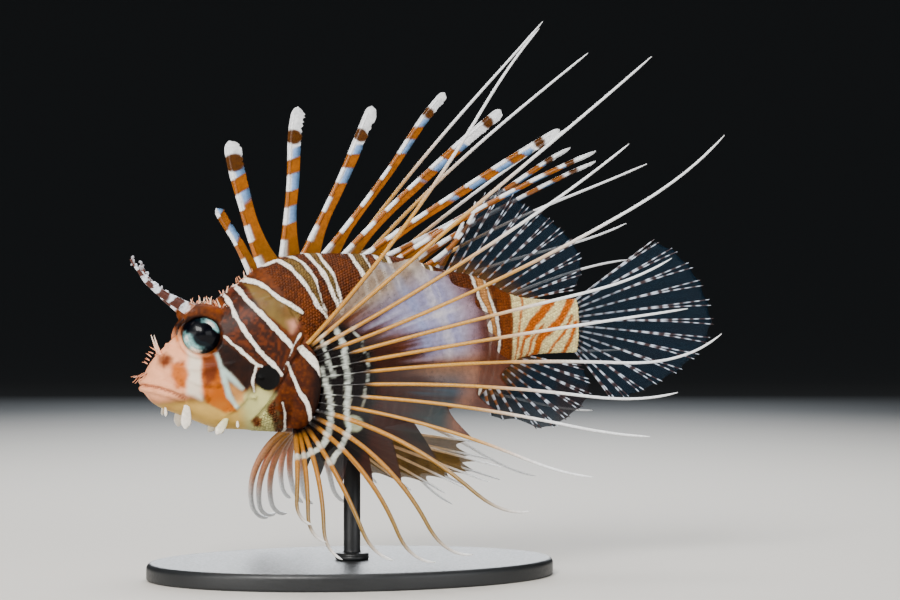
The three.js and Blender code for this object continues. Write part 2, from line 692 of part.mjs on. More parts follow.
// A small fleshy leaf: narrow at its stalk, wide in its middle and pointed.
function leaf(root, reach, width) {
  const line = [0, 0.55, 1].map((s) => root.clone().addScaledVector(reach, s));
  const across = Math.abs(reach.z) > Math.abs(reach.x) ? vec(1, 0, 0) : vec(0, 0, 1);
  const shares = [0.6, 1.1, 0.15];
  return bar(line, shares.map((s) => s * width), [0.4, 0.3, 0.1], across, 4);
}

// A rolled lip that follows the gape round the snout, above it or below it.
function lip(offset, radius) {
  const heights = (x) => {
    const k = GAPE.findIndex(([gx]) => gx >= x);
    const [a, b] = [GAPE[Math.max(k - 1, 0)], GAPE[Math.max(k, 1)]];
    return lerp(a[1], b[1], (x - a[0]) / (b[0] - a[0]));
  };
  const half = [-51.6, -54, -56.5, -58.8, -60.6, -61.8].map((x) => {
    const z = heights(x) + offset;
    return vec(x, flank(x, z) - 0.25, z);
  });
  const front = [vec(LIP + 0.25, 0.9, 57.2 + offset), vec(LIP + 0.25, -0.9, 57.2 + offset)];
  const line = [...half, ...front, ...half.slice().reverse().map((p) => vec(p.x, -p.y, p.z))];
  const sizes = line.map((p) => radius * (0.55 + 0.45 * Math.min(1, (-51 - p.x) / 5)));
  return bar(line, sizes, sizes, vec(0, 0, 1), 6);
}

function eyeball(side, grow = 0) {
  const radii = [EYE.across + grow, EYE.deep + grow, EYE.across + grow];
  return ellipsoid([EYE.x, side * EYE.y, EYE.z], radii, [0, 0, side * 8], [18, 10]);
}

// A banded tentacle over the eye, with small flaps along its rear edge.
function tentacle(side) {
  const line = side < 0 ? LEFT_TENTACLE : RIGHT_TENTACLE;
  const steps = 8;
  const points = spline(line.map(([x, y, z]) => [x, side * y, z]), steps);
  const widths = points.map((p, k) => lerp(0.35, 2.1, (1 - k / steps) ** 1.15));
  const thicks = points.map((p, k) => lerp(0.25, 0.95, 1 - k / steps));
  const parts = [bar(points, widths, thicks, vec(0.65, 0, 0.75))];
  for (let k = 2; k < steps; k += 1) {
    const up = k % 2 ? 1 : -0.45;
    parts.push(leaf(points[k], vec(0.5 + 0.8 * chance(), side * 0.4 * up, 2.9 * up), 0.55));
  }
  return parts;
}

// Stand

function standBase() {
  const r = BASE_LENGTH / 2;
  const profile = [
    [0, 0], [r - 1.2, 0], [r, 1.2], [r, BASE_HEIGHT - 2],
    [r - 0.6, BASE_HEIGHT - 0.6], [r - 2, BASE_HEIGHT], [0, BASE_HEIGHT],
  ];
  const geometry = new THREE.LatheGeometry(profile.map(([x, z]) => new THREE.Vector2(x, z)), 32);
  geometry.rotateX(Math.PI / 2);
  geometry.scale(1, BASE_WIDTH / BASE_LENGTH, 1);
  return solid(geometry);
}

function standRod() {
  const foot = BASE_HEIGHT + GAP;
  const profile = [
    [0, 0], [COLLAR_RADIUS, 0], [COLLAR_RADIUS, 1.4], [COLLAR_RADIUS - 0.6, 2],
    [ROD_RADIUS, 2.6], [ROD_RADIUS, ROD_LENGTH], [0, ROD_LENGTH],
  ];
  const geometry = new THREE.LatheGeometry(profile.map(([x, z]) => new THREE.Vector2(x, z)), 16);
  geometry.rotateX(Math.PI / 2);
  geometry.translate(0, 0, foot);
  return solid(geometry);
}

// Assembly

const body = solid(bodyGeometry(0, 24));
const cleared = solid(bodyGeometry(GAP, 24));
const gill = smooth(GILL_EDGE, 16);
const behindGill = gill.map(([x, z]) => [x + GAP, z]);
const jawRear = smooth([GAPE[GAPE.length - 1], ...JAW_REAR], 6).slice(1);
const jawOutline = [...smooth(GAPE, 10), ...jawRear, [LIP - 6, 36]];
const jawRoom = jawOutline.map(([x, z]) => [x > LIP - 5 ? x + GAP : x, z > 40 ? z + GAP : z]);

const extras = mirrored(headExtras).flat().map(solid);
const sockets = fuse(mirrored((side) => solid(eyeball(side, GAP))));
const skull = body.intersect(prism([...gill, [LIP - 8, 36], [LIP - 8, 100]]));
const head = fuse([skull, solid(lip(0.95, 1.05)), ...extras]).subtract(sockets).subtract(prism(jawRoom));
// Flaps that hang from the lower jaw, a small one near the chin and a large one at its rear.
const jawFlaps = mirrored((side) => [
  leaf(vec(-56, side * (flank(-56, 50.8) - 0.9), 51), vec(0.3, side * 0.8, -3.4), 0.45),
  leaf(vec(-50.2, side * (flank(-50.2, 51.8) - 0.9), 51.8), vec(-0.3, side * 1.1, -7.3), 1.35),
]).flat().map(solid);
const jaw = fuse([body, solid(lip(-0.95, 1)), ...jawFlaps]).intersect(prism(jawOutline));
const trunk = body.intersect(prism([...behindGill, [STEM_CUT, 36], [STEM_CUT, 100]]));
const stemOutline = [[STEM_CUT + GAP, 36], [TAIL_END + 4, 36], [TAIL_END + 4, 100], [STEM_CUT + GAP, 100]];
const stem = body.intersect(prism(stemOutline));
const browRoom = (side) => solid(ellipsoid(
  [BROW.x, side * BROW.y, BROW.z],
  [BROW.long + GAP, BROW.wide + GAP, BROW.high + GAP],
  [0, 8, 0],
));

const model = new THREE.Group();
const groups = {};
function add(group, name, geometry, finish) {
  const [color, roughness] = COLOURS[finish];
  const material = new THREE.MeshStandardMaterial({ color, roughness, metalness: 0 });
  const mesh = new THREE.Mesh(geometry, material);
  mesh.name = name;
  if (!groups[group]) {
    groups[group] = new THREE.Group();
    groups[group].name = `group_${group}`;
    model.add(groups[group]);
  }
  groups[group].add(mesh);
}

add('body', 'head', geometryOf(head), 'flesh');
add('body', 'lower_jaw', geometryOf(jaw), 'flesh');
add('body', 'trunk', geometryOf(trunk), 'flesh');
add('body', 'tail_stem', geometryOf(stem), 'flesh');

for (const [side, word] of [[-1, 'left'], [1, 'right']]) {
  add('body', `eye_${word}`, geometryOf(solid(eyeball(side))), 'eye');
  const feeler = fuse(tentacle(side).map(solid)).subtract(browRoom(side)).subtract(cleared);
  add('body', `tentacle_${word}`, geometryOf(feeler), 'spine');
  add('fins', `pectoral_base_${word}`, geometryOf(solid(pectoralBase(side)).subtract(cleared)), 'flesh');
  const fan = side < 0 ? NEAR_PECTORAL : FAR_PECTORAL;
  add('fins', `pectoral_fin_${word}`, geometryOf(solid(pectoralFin(fan, side))), 'fin');
  const pelvic = pelvicFin(side < 0 ? LEFT_PELVIC : RIGHT_PELVIC, side);
  add('fins', `pelvic_fin_${word}`, geometryOf(solid(pelvic).subtract(cleared)), 'fin');
}

const alongBack = (from, to) => (share) => {
  const x = lerp(from, to, share);
  return vec(x, 0, along(1, x) - ROOT_DEPTH);
};
const alongVent = (share) => {
  const x = lerp(40.5, 51.5, share);
  return vec(x, 0, along(2, x) + ROOT_DEPTH);
};
const acrossTail = (share) => vec(TAIL_END + GAP, 0, lerp(81.4, 67, share));

add('fins', 'spiny_dorsal_fin', geometryOf(solid(spinyDorsal()).subtract(cleared)), 'spine');
const softDorsal = softFin(SOFT_DORSAL, alongBack(28.5, 51.5), {});
const anal = softFin(ANAL, alongVent, { spines: 3 });
const caudal = softFin(CAUDAL, acrossTail, { reach: 0.9, bend: -4 });
add('fins', 'soft_dorsal_fin', geometryOf(solid(softDorsal).subtract(cleared)), 'fin');
add('fins', 'anal_fin', geometryOf(solid(anal).subtract(cleared)), 'fin');
add('fins', 'caudal_fin', geometryOf(solid(caudal)), 'fin');

add('stand', 'stand_base', geometryOf(standBase()), 'stand');
add('stand', 'stand_rod', geometryOf(standRod().subtract(cleared)), 'stand');

export default model;
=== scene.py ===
"""Spotfin lionfish, life size, dressed over its solids as a still museum model on a display stand.

Lengths in the code are millimetres in the part's own frame: the head points to -X, the left flank
is the -Y side and Z is up. Meshes are turned to metres as they are made.
"""

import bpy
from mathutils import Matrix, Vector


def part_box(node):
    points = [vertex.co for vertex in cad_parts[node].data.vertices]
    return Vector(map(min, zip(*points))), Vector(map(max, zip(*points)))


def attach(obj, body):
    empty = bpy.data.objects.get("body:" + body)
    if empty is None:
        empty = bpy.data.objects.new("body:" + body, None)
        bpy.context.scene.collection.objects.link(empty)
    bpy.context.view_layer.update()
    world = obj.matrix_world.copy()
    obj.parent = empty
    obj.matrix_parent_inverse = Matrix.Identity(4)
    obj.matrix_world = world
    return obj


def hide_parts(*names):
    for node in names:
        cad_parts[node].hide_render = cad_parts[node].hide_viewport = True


bl_info = {
    "name": "Spotfin Lionfish Model",
    "version": (1, 0, 0),
    "blender": (4, 5, 0),
    "location": "3D View > Sidebar > Lionfish",
    "description": "Skin, fins, eyes and stand of a life-size lionfish model",
    "category": "Object",
}

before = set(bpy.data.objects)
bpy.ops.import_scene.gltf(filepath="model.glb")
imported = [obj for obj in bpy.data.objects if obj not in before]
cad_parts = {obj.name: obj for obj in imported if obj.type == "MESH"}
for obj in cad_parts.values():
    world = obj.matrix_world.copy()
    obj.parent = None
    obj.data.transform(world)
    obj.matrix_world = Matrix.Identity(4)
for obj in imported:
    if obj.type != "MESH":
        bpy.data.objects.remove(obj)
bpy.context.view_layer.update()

import itertools
import math

import bpy
import numpy as np
from bpy.props import FloatProperty, FloatVectorProperty, IntProperty, PointerProperty
from mathutils import Euler, Vector

MM = 0.001

# The photo's camera: pixels are those of its 900 x 600 frame.
PHOTO = {"width": 900, "height": 600, "focal": 2500.0, "distance": 750.0, "azimuth": -14.0}
AIM = np.array([30.0, 0.0, 82.0])
PX = PHOTO["distance"] / PHOTO["focal"]

# Body outline from lip to tail stem: place along X, top, bottom, half width.
LIP = -62.6
BODY = np.array([
    [LIP, 57.6, 57.4, 0.0],
    [-62, 59.4, 55.3, 2.6],
    [-60.9, 62.1, 53.8, 4.2],
    [-59.5, 64.3, 52.2, 5.4],
    [-57.5, 66.6, 50.9, 6.6],
    [-55, 69.2, 49.8, 7.7],
    [-51.5, 72.3, 48.5, 8.8],
    [-47.5, 76, 46.9, 9.8],
    [-43.5, 79.7, 45.3, 10.6],
    [-38.5, 84.1, 44.2, 11.4],
    [-33.5, 87.7, 44, 12.2],
    [-29, 91.2, 43.6, 12.8],
    [-22, 94.2, 43.2, 13.6],
    [-12.5, 95.8, 43, 14],
    [0, 95.7, 42.8, 13.8],
    [12, 95, 44.6, 12.6],
    [21.5, 92.9, 46.7, 10.9],
    [28, 91, 48.8, 9.3],
    [37, 89.3, 51.9, 7.2],
    [42.5, 86.8, 56.3, 5.9],
    [47.5, 84.2, 61.5, 5],
    [52, 82.8, 64.7, 4.4],
    [60, 82.1, 65.9, 3.7],
    [69.5, 82.3, 66.2, 3.1],
])
TOP, BOTTOM, HALF = 1, 2, 3
STATION = np.sqrt(BODY[:, 0] - LIP)
TAIL_END = BODY[-1, 0]
HEAD_LENGTH = 45
GAP = 0.3
ROOT_DEPTH = 1.2

GILL_EDGE = np.array([
    [-31.5, 100], [-28, 90], [-21.5, 80], [-17.2, 71.5], [-20.5, 64.5],
    [-23.4, 58.5], [-26.8, 52.6], [-30.5, 47.5], [-36, 36],
])
GAPE = np.array([[LIP, 57.3], [-58.5, 56.6], [-54.5, 55.2], [-50.8, 53.4]])
EYE = {"x": -46, "y": 5.9, "z": 71.6, "across": 5.9, "deep": 4.6}
BROW = {"x": -44.8, "y": 6.5, "z": 77.3, "long": 6.9, "wide": 2.5, "high": 3.7}
LEFT_TENTACLE = [
    [-48.4, 7, 78.6], [-53, 8.5, 81.1], [-57.6, 10, 83.7],
    [-62, 11.2, 86.9], [-65, 12, 90.6], [-67.3, 12.5, 93.7],
]
RIGHT_TENTACLE = [
    [-48.4, 6.6, 78.4], [-53.2, 7.5, 82], [-56.7, 8.2, 84.9],
    [-59.5, 9, 87.9], [-60.9, 9.5, 90.8], [-61.5, 10, 93.2],
]

# Arc that the pectoral rays grow from, and the fleshy pad inside it.
SHOULDER = {"x": -17.4, "z": 56.6, "long": 5, "high": 12.6, "stand": 1.9, "top": 80, "end": -98}
PAD = {"set_back": 3.6, "long": 2.2, "inset": 0.4, "edge": 0.45, "over_rays": 1.15, "sunk": 2.5}

# Pectoral rays from the top one down: heading, length, bend, hook of the tip, reach sideways, and
# the share of the ray that the membrane follows.
NEAR_PECTORAL = [
    [48, 112.8, 16, -15, 30, 0.28],
    [41, 129.7, -1, 2, 32, 0.31],
    [29, 108.1, 9, 2, 34, 0.41],
    [20, 135.1, 14, 15, 36, 0.37],
    [16, 104.8, -3, 20, 38, 0.49],
    [11, 105.2, -3, 1, 40, 0.49],
    [8, 115.4, -14, 49, 42, 0.475],
    [3, 98.9, -14, 27, 45, 0.53],
    [-2, 90, -14, 14, 48, 0.545],
    [-8, 74.9, -21, 24, 50, 0.56],
    [-14, 61, -42, 73, 54, 0.56],
    [-27, 53.8, -58, 98, 56, 0.52],
    [-40, 46.7, -51, 98, 58, 0.47],
    [-66, 38.6, -18, 75, 58, 0.43],
    [-81, 34.6, -31, 88, 56, 0.38],
    [-95, 30, -16, 99, 54, 0.36],
    [-105, 26, -7, 103, 50, 0.34],
]
FAR_PECTORAL = [
    [55, 131.7, -11, 4, 32, 0.28],
    [50, 135.6, -15, 3, 34, 0.3],
    [42, 116, -10, -1, 36, 0.34],
    [36, 133.3, -20, 7, 38, 0.32],
    [31, 119.9, -24, 17, 40, 0.36],
    [16, 117, 4, -14, 42, 0.4],
    [12, 113, -20, 12, 44, 0.42],
    [3, 101.9, -22, 17, 46, 0.46],
    [-8, 88.1, -29, 26, 48, 0.5],
    [-20, 67.1, -31, 27, 52, 0.5],
    [-50, 40.5, -24, 66, 54, 0.48],
    [-76, 33.7, 4, 49, 54, 0.44],
    [-96, 31.3, 45, 17, 54, 0.42],
    [-106, 28.1, 53, 30, 52, 0.4],
    [-118, 34.2, 67, 55, 50, 0.38],
    [-127, 35.3, 73, 85, 48, 0.36],
    [-136, 35.8, 87, 48, 46, 0.34],
]

# Dorsal spines: place along the back, heading, length, bend, hook, lean sideways and flag width.
DORSAL_SPINES = [
    [-30.5, 113, 22.2, 12, -8, -1.5, 3],
    [-27.5, 110, 39.1, -11, 0, 2, 5.2],
    [-21.5, 83, 46, 7, -16, -2.5, 4.3],
    [-15.5, 62, 50.6, 5, 0, 3, 3.9],
    [-9.5, 50, 61.5, 10, -15, -4, 2.8],
    [-3.5, 46, 67.8, -8, 0, 5, 3.4],
    [2.5, 36, 71.4, -6, 0, -6, 3],
    [8, 23, 72.4, 14, -11, 12, 2.6],
    [13, 35, 67.5, -12, 0, -12.5, 2.4],
    [17.5, 32, 71, -10, 0, 16, 2.2],
    [21.5, 30, 25.5, 42, 17, -6.5, 1.9],
    [25, 48, 19, 16, 0, 4, 1.7],
]
# From each spine's tip in mm: middle of the brown spot, start of the first orange band, and where the
# flag turns orange all the way down.
DORSAL_MARKS = [
    [-9, 2.6, 12], [6.5, 11.6, 19.5], [8.9, 15.9, 36], [9.4, 16.2, 27], [7.8, 13.5, 27],
    [5.6, 19.5, 34], [7.2, 14.2, 40], [8.5, 12.5, 34],
]
DORSAL_PERIOD = 9.6

SOFT_DORSAL = [
    [62, 28.4], [60, 31], [55, 30.2], [50, 29], [46, 29.5], [42, 29.4],
    [38, 29.1], [33, 28.8], [27, 27.4], [20, 23.8], [13, 18.5],
]
ANAL = [
    [-76, 9], [-66, 12.2], [-57, 14.4], [-50, 21.4], [-44, 24.8],
    [-38, 25.9], [-31, 27.3], [-24, 27.7], [-18, 25], [-12, 20.7],
]
CAUDAL = [
    [37, 31.4], [30, 35.7], [22, 39], [15, 41.4], [8, 43.1], [2, 44.1], [-4, 42.8],
    [-10, 39.4], [-17, 34.8], [-25, 29.8], [-33, 25.8], [-41, 22], [-48, 18.5],
]
LEFT_PELVIC = [[-47, 23.1], [-38, 30.9], [-31, 38.6], [-26, 42], [-21, 46.7], [-15, 47.4]]
RIGHT_PELVIC = [[-33, 32.2], [-28, 43.4], [-23, 52.2], [-18, 60], [-13, 54.3], [-8, 51]]
PELVIC_SPREAD = 3.6

# White lines of the near flank: width at the start and the end in mm, then pixels of the photo.
WHITE_LINES = [
    [1.7, 1.1, (272, 262), (279, 261), (302, 280), (320, 308), (333, 325)],
    [1.1, 0.7, (288, 256), (297, 259), (313, 275), (320, 295), (326, 312)],
    [1.6, 1.1, (304, 250), (312, 259), (323, 272), (330, 286), (335, 299), (342, 314)],
    [1.2, 0.9, (317, 250), (322, 259), (332, 272), (338, 288), (343, 310)],
    [1.5, 1.2, (348, 249), (354, 261), (362, 272), (367, 290), (372, 330), (374, 380), (370, 428)],
    [1.1, 1.0, (361, 249), (366, 259), (373, 272), (379, 290), (384, 330), (386, 380), (382, 425)],
    [1.4, 1.2, (373, 252), (380, 263), (386, 275), (392, 300), (397, 340), (397, 385), (392, 422)],
    [1.2, 1.0, (385, 252), (390, 263), (396, 276), (403, 300), (408, 340), (408, 385), (402, 418)],
    [1.4, 1.1, (420, 260), (424, 271), (429, 282), (436, 320), (438, 360), (432, 408)],
    [1.1, 1.0, (430, 262), (433, 279), (441, 300), (448, 330), (448, 370), (441, 405)],
    [1.3, 1.0, (471, 276), (477, 292), (484, 308), (490, 324), (490, 350), (482, 385)],
    [1.1, 0.9, (483, 280), (489, 296), (495, 312), (499, 330), (499, 350), (494, 372)],
    [1.3, 1.2, (219, 290), (228, 300), (238, 320), (255, 345), (270, 362), (282, 374)],
    [1.2, 1.7, (238, 289), (250, 303), (262, 315), (278, 331), (291, 346)],
    [2.0, 0.9, (243, 279), (262, 285), (280, 298), (303, 313)],
    [1.1, 0.6, (225, 337), (232, 344), (240, 350), (255, 363), (262, 366)],
    [0.7, 0.5, (257, 364), (253, 380), (254, 392)],
    [0.6, 0.3, (300, 334), (294, 346), (288, 360), (282, 374)],
    [1.0, 1.4, (288, 362), (293, 377), (300, 392), (308, 405), (312, 430)],
    [2.3, 1.5, (302, 349), (310, 357), (319, 368), (327, 383), (331, 399), (331, 414), (328, 432)],
    [0.9, 0.6, (283, 404), (285, 416), (284, 430)],
]
# Fields between two white lines that are filled with olive, as pixels of the photo.
OLIVE_FIELDS = [
    [(275, 261), (292, 258), (313, 275), (323, 308), (320, 308), (302, 280)],
    [(306, 252), (317, 250), (332, 272), (342, 308), (335, 299), (323, 272)],
    [(350, 249), (362, 249), (373, 272), (384, 330), (382, 425), (370, 428), (372, 330), (362, 272)],
    [(375, 252), (386, 252), (396, 276), (408, 340), (402, 418), (392, 422), (397, 340), (386, 275)],
    [(421, 260), (431, 262), (441, 300), (448, 330), (441, 405), (432, 408), (436, 320), (424, 271)],
    [(243, 283), (262, 285), (302, 312), (293, 334), (268, 316), (250, 298)],
]
# Pigment patches of the head in the order that they are laid: colour, softness in mm, pixels.
HEAD_PATCHES = [
    ["throat", 1.8, (236, 400), (262, 385), (285, 404), (298, 440), (232, 440)],
    ["jaw", 2.0, (150, 404), (198, 402), (240, 400), (246, 436), (200, 430), (150, 420)],
    ["snout", 1.6, (130, 330), (176, 325), (192, 350), (215, 360), (212, 392), (160, 402), (130, 400)],
    ["cream", 1.0, (188, 350), (202, 360), (201, 400), (187, 394)],
    ["amber", 0.7, (202, 356), (214, 355), (222, 374), (225, 390), (237, 412), (225, 413), (206, 402), (201, 380)],
    ["teal", 0.6, (214, 354), (218, 353), (223, 365), (231, 374), (244, 388), (242, 391), (230, 381), (220, 370)],
    ["teal", 0.5, (219, 367), (224, 371), (229, 385), (233, 396), (240, 408), (237, 410), (227, 397), (222, 382)],
    ["tan", 0.9, (228, 383), (236, 386), (244, 393), (244, 402), (237, 403)],
    ["plum", 0.6, (216, 342), (221, 316), (214, 300), (222, 288), (236, 283), (246, 286), (268, 322),
     (298, 350), (284, 374), (262, 364), (228, 340)],
    ["cheek", 0.4, (214, 343), (228, 345), (256, 366), (253, 382), (247, 390), (238, 380), (224, 366)],
    ["umber", 0.7, (211, 302), (219, 298), (226, 306), (222, 314), (214, 312)],
    ["cheek", 0.5, (181, 325), (191, 316), (206, 315), (218, 322), (224, 346), (219, 346), (215, 330), (204, 322),
     (191, 325), (185, 333)],
    ["rust", 0.6, (224, 287), (236, 281), (240, 288), (230, 294)],
    ["rust", 1.0, (203, 357), (214, 355), (219, 366), (216, 380), (206, 386), (203, 374)],
    ["umber", 1.1, (160, 356), (166, 353), (172, 358), (171, 365), (164, 368), (159, 364)],
    ["amber", 0.9, (172, 364), (184, 362), (188, 374), (186, 387), (177, 388), (171, 376)],
    ["amber", 0.6, (173, 320), (179, 321), (181, 340), (177, 342)],
    ["bark", 0.6, (266, 408), (276, 396), (290, 376), (298, 410), (298, 436), (276, 436)],
    ["throat", 0.6, (288, 402), (295, 404), (297, 428), (290, 428)],
    ["umber", 0.6, (251, 420), (256, 416), (262, 419), (261, 427), (254, 427)],
    ["blush", 1.6, (289, 322), (294, 320), (296, 326), (292, 332)],
    ["tan", 0.5, (472, 276), (484, 280), (496, 312), (500, 345), (489, 345), (484, 308)],
]
# Orange bands of the tail stem: width in mm and pixels.
STEM_BANDS = [
    [2.6, (549, 303), (541, 314), (533, 323), (527, 334)],
    [1.0, (527, 334), (522, 346), (519, 358)],
    [0.7, (522, 303), (520, 324), (516, 354)],
    [0.9, (543, 325), (532, 340), (526, 356)],
    [2.2, (568, 306), (560, 320), (550, 330), (540, 339), (534, 356)],
    [0.9, (572, 316), (563, 334), (554, 344), (546, 357)],
    [1.3, (576, 322), (570, 340), (562, 356)],
]
BLACK_SPOT = {"at": (268, 378), "radius": 3.75}

# Pale rings over the root of the pectoral membrane: width in mm, then place among the rays and way
# out along them in mm.
FIN_RINGS = [
    [1.5, (5.0, 0.4), (6.8, 1.8), (8.5, 3.0), (10, 4.0), (11.5, 5.0), (13, 6), (16, 7.5)],
    [0.9, (0.9, 4.2), (1.4, 3.5), (2.8, 3.2), (4.4, 2.8), (5.9, 3.8)],
    [1.4, (1.4, 8.6), (2.4, 8.2), (4.5, 7.5), (7, 7.4), (8.9, 7.6), (9.6, 7.9), (10.6, 9.6), (11.6, 9.5), (13, 10.5)],
    [0.3, (2.2, 12.8), (3.1, 13.3), (4.9, 13.8), (7, 12.4), (8.5, 11.6)],
]
# The lower membranes are sails: each is cut back on the ray above it by this share of that ray's reach.
SAILS = [(6, 0), (7, 0.17), (8, 0.3), (9, 0.4), (12, 0.45), (14, 0.5), (15, 0.4)]
# How far the black-brown hub reaches out, as place among the rays and mm, on the membrane and rays.
HUB_ON_WEB = [(0, 4), (1.5, 11.6), (4.1, 15.2), (6.4, 15.6), (8.2, 15), (9.2, 14.5), (10.4, 15), (12, 15), (16, 10)]
HUB_ON_RAYS = [(0, 0), (2, 2.5), (3.5, 9), (5, 13.5), (7.5, 14), (9, 9), (10.5, 3), (16, 2)]


def linear(value):
    """A hex sRGB colour as linear red, green and blue."""
    parts = [(value >> shift & 255) / 255 for shift in (16, 8, 0)]
    return tuple(p / 12.92 if p <= 0.04045 else ((p + 0.055) / 1.055) ** 2.4 for p in parts)


def colour(name, description, value):
    """A colour property whose default is a hex sRGB value."""
    return FloatVectorProperty(
        name=name, description=description, default=linear(value), subtype="COLOR", size=3, min=0, max=1
    )


class LionfishColours(bpy.types.PropertyGroup):
    """Pigments of the skin, fins, eyes and stand."""

    flank: colour("Flank", "Red-brown between the bars", 0x703404)
    flank_dark: colour("Flank shade", "Darker scales of the flank", 0x3C1804)
    belly: colour("Belly", "Brown-cream underside", 0xA87850)
    olive: colour("Olive", "Fill between the white lines of a pair", 0x76602E)
    white: colour("White lines", "Bars and bands", 0xF6EEE0)
    stem: colour("Tail stem", "Cream ground of the tail stem", 0xF2DC9C)
    amber: colour("Amber", "Orange marks of the snout, stem and fin base", 0xBC5C00)
    umber: colour("Umber", "Orange-brown bands of the head", 0x7C3A04)
    rust: colour("Rust", "Red-brown head marks", 0x5E240C)
    bark: colour("Bark", "Dark brown of the breast", 0x3A1404)
    plum: colour("Plum", "Brown-black between the head's bars", 0x24100A)
    cheek: colour("Cheek", "Bar under the eye", 0x120604)
    snout: colour("Snout", "Pink-peach of the snout", 0xFFB084)
    cream: colour("Cream", "Pale band behind the mouth", 0xEFE2CC)
    jaw: colour("Jaw", "Yellow of the lower jaw", 0xDCB25C)
    throat: colour("Throat", "Pale green-yellow", 0xD2CE88)
    teal: colour("Pale teal", "Blue-white head bands", 0xBCD6CC)
    tan: colour("Tan", "Patch low on the cheek", 0xC88A4C)
    blush: colour("Blush", "Point of the gill cover", 0xD8907C)
    spot: colour("Spot", "Black spot of the gill cover", 0x020202)
    hub: colour("Fin hub", "Black-brown root of the pectoral fin", 0x070202)
    mist: colour("Mist", "Greige of the uppermost fin membrane", 0x94806E)
    lilac: colour("Lilac", "Grey-lilac fin membrane", 0x9290B4)
    smoke: colour("Smoke", "Dark lower fin membrane", 0x142830)
    margin: colour("Margin", "Brown edge of the pectoral membrane", 0x441A04)
    ray: colour("Ray", "Ochre-cream fin ray", 0xC48E38)
    ray_tip: colour("Ray tip", "White end of a fin ray", 0xF6F8FA)
    flag: colour("Flag", "Orange skin behind a dorsal spine", 0x985400)
    flag_base: colour("Flag base", "Olive-brown web between dorsal spines", 0x6A4408)
    flag_spot: colour("Flag spot", "Brown spot on a flag", 0x522C02)
    sky: colour("Sky", "Blue-white bands of a flag", 0x7EA6DC)
    navy: colour("Navy", "Soft fin membrane", 0x071C2A)
    ray_gap: colour("Ray gap", "Dark red link between the dots of a soft ray", 0x401810)
    pelvic: colour("Pelvic", "Brown pelvic membrane", 0x301606)
    iris: colour("Iris", "Blue-green glow of the iris", 0x8CC4C4)
    pupil: colour("Pupil", "Blue-black pupil and eye bar", 0x03040A)
    stand: colour("Stand", "Charcoal powder coat", 0x1E2022)


class LionfishSizes(bpy.types.PropertyGroup):
    """Sizes that a user would change."""

    voxel: FloatProperty(
        name="Skin fineness", description="Edge of the voxels that blend the skin's forms, in mm",
        default=0.42, min=0.3, max=1.2,
    )
    ray_radius: FloatProperty(
        name="Pectoral ray radius", description="Radius of a pectoral ray at its root, in mm",
        default=0.64, min=0.4, max=1.5,
    )
    web_thickness: FloatProperty(
        name="Membrane thickness", description="Thickness of a fin membrane, in mm",
        default=0.16, min=0.1, max=0.6,
    )
    web_columns: IntProperty(
        name="Membrane columns", description="Mesh columns between two neighbouring rays", default=8, min=2, max=16,
    )
    scale_size: FloatProperty(
        name="Scale size", description="Width of a body scale, in mm", default=1.1, min=0.6, max=3,
    )


# Body surface


def slopes(column):
    rise = np.diff(BODY[:, column]) / np.diff(STATION)
    before, after = rise[:-1], rise[1:]
    total = np.where(before * after > 0, before + after, 1)
    inner = np.where(before * after > 0, 2 * before * after / total, 0)
    return np.concatenate([[rise[0]], inner, [rise[-1]]])


SLOPES = {column: slopes(column) for column in (TOP, BOTTOM, HALF)}


def along(column, x):
    """Top, bottom or half width of the body at places along X."""
    q = np.sqrt(np.maximum(0, np.asarray(x, float) - LIP))
    i = np.clip(np.searchsorted(STATION, q, side="right") - 1, 0, len(BODY) - 2)
    step = STATION[i + 1] - STATION[i]
    t = np.clip((q - STATION[i]) / step, 0, 1)
    start, end = BODY[i, column], BODY[i + 1, column]
    leave, arrive = SLOPES[column][i] * step, SLOPES[column][i + 1] * step
    return (
        start * (1 + 2 * t) * (1 - t) ** 2 + leave * t * (1 - t) ** 2
        + end * t * t * (3 - 2 * t) + arrive * t * t * (t - 1)
    )


def section(x):
    top, bottom = along(TOP, x), along(BOTTOM, x)
    back = np.clip((np.asarray(x, float) - LIP) / HEAD_LENGTH, 0, 1)
    return top, bottom, along(HALF, x), bottom + (top - bottom) * (0.44 + 0.08 * back), 2.3 - 0.3 * back


def flank(x, z):
    """Half width of the body at a place on its side."""
    top, bottom, half, mid, power = section(x)
    z = np.asarray(z, float)
    reach = np.where(z > mid, (z - mid) / (top - mid + 1e-9), (mid - z) / (mid - bottom + 1e-9))
    return half * (1 - np.clip(reach, 0, 1) ** power) ** (1 / power)


def belly(x, y):
    top, bottom, half, mid, power = section(x)
    return mid - (mid - bottom) * (1 - np.clip(abs(y) / half, 0, 1) ** power) ** (1 / power)


# Numbers and noise


def mix(a, b, share):
    return a + (b - a) * share


def step_soft(low, high, value):
    t = np.clip((value - low) / (high - low), 0, 1)
    return t * t * (3 - 2 * t)


def noise(points, size, seed=0):
    """Smooth repeatable random values from -1 to 1 whose features have a size in mm."""
    q = np.asarray(points, float) / size + 31.7 * (seed + 1)
    cell = np.floor(q).astype(np.int64)
    f = q - cell
    f = f * f * (3 - 2 * f)
    total = np.zeros(len(q))
    for corner in itertools.product((0, 1), repeat=3):
        c = cell + corner
        key = (c[:, 0] * 73856093) ^ (c[:, 1] * 19349663) ^ (c[:, 2] * 83492791)
        value = ((key * 2654435761) & 0xFFFFFF) / 0xFFFFFF
        weight = np.prod([f[:, k] if corner[k] else 1 - f[:, k] for k in range(3)], axis=0)
        total += weight * value
    return 2 * total - 1


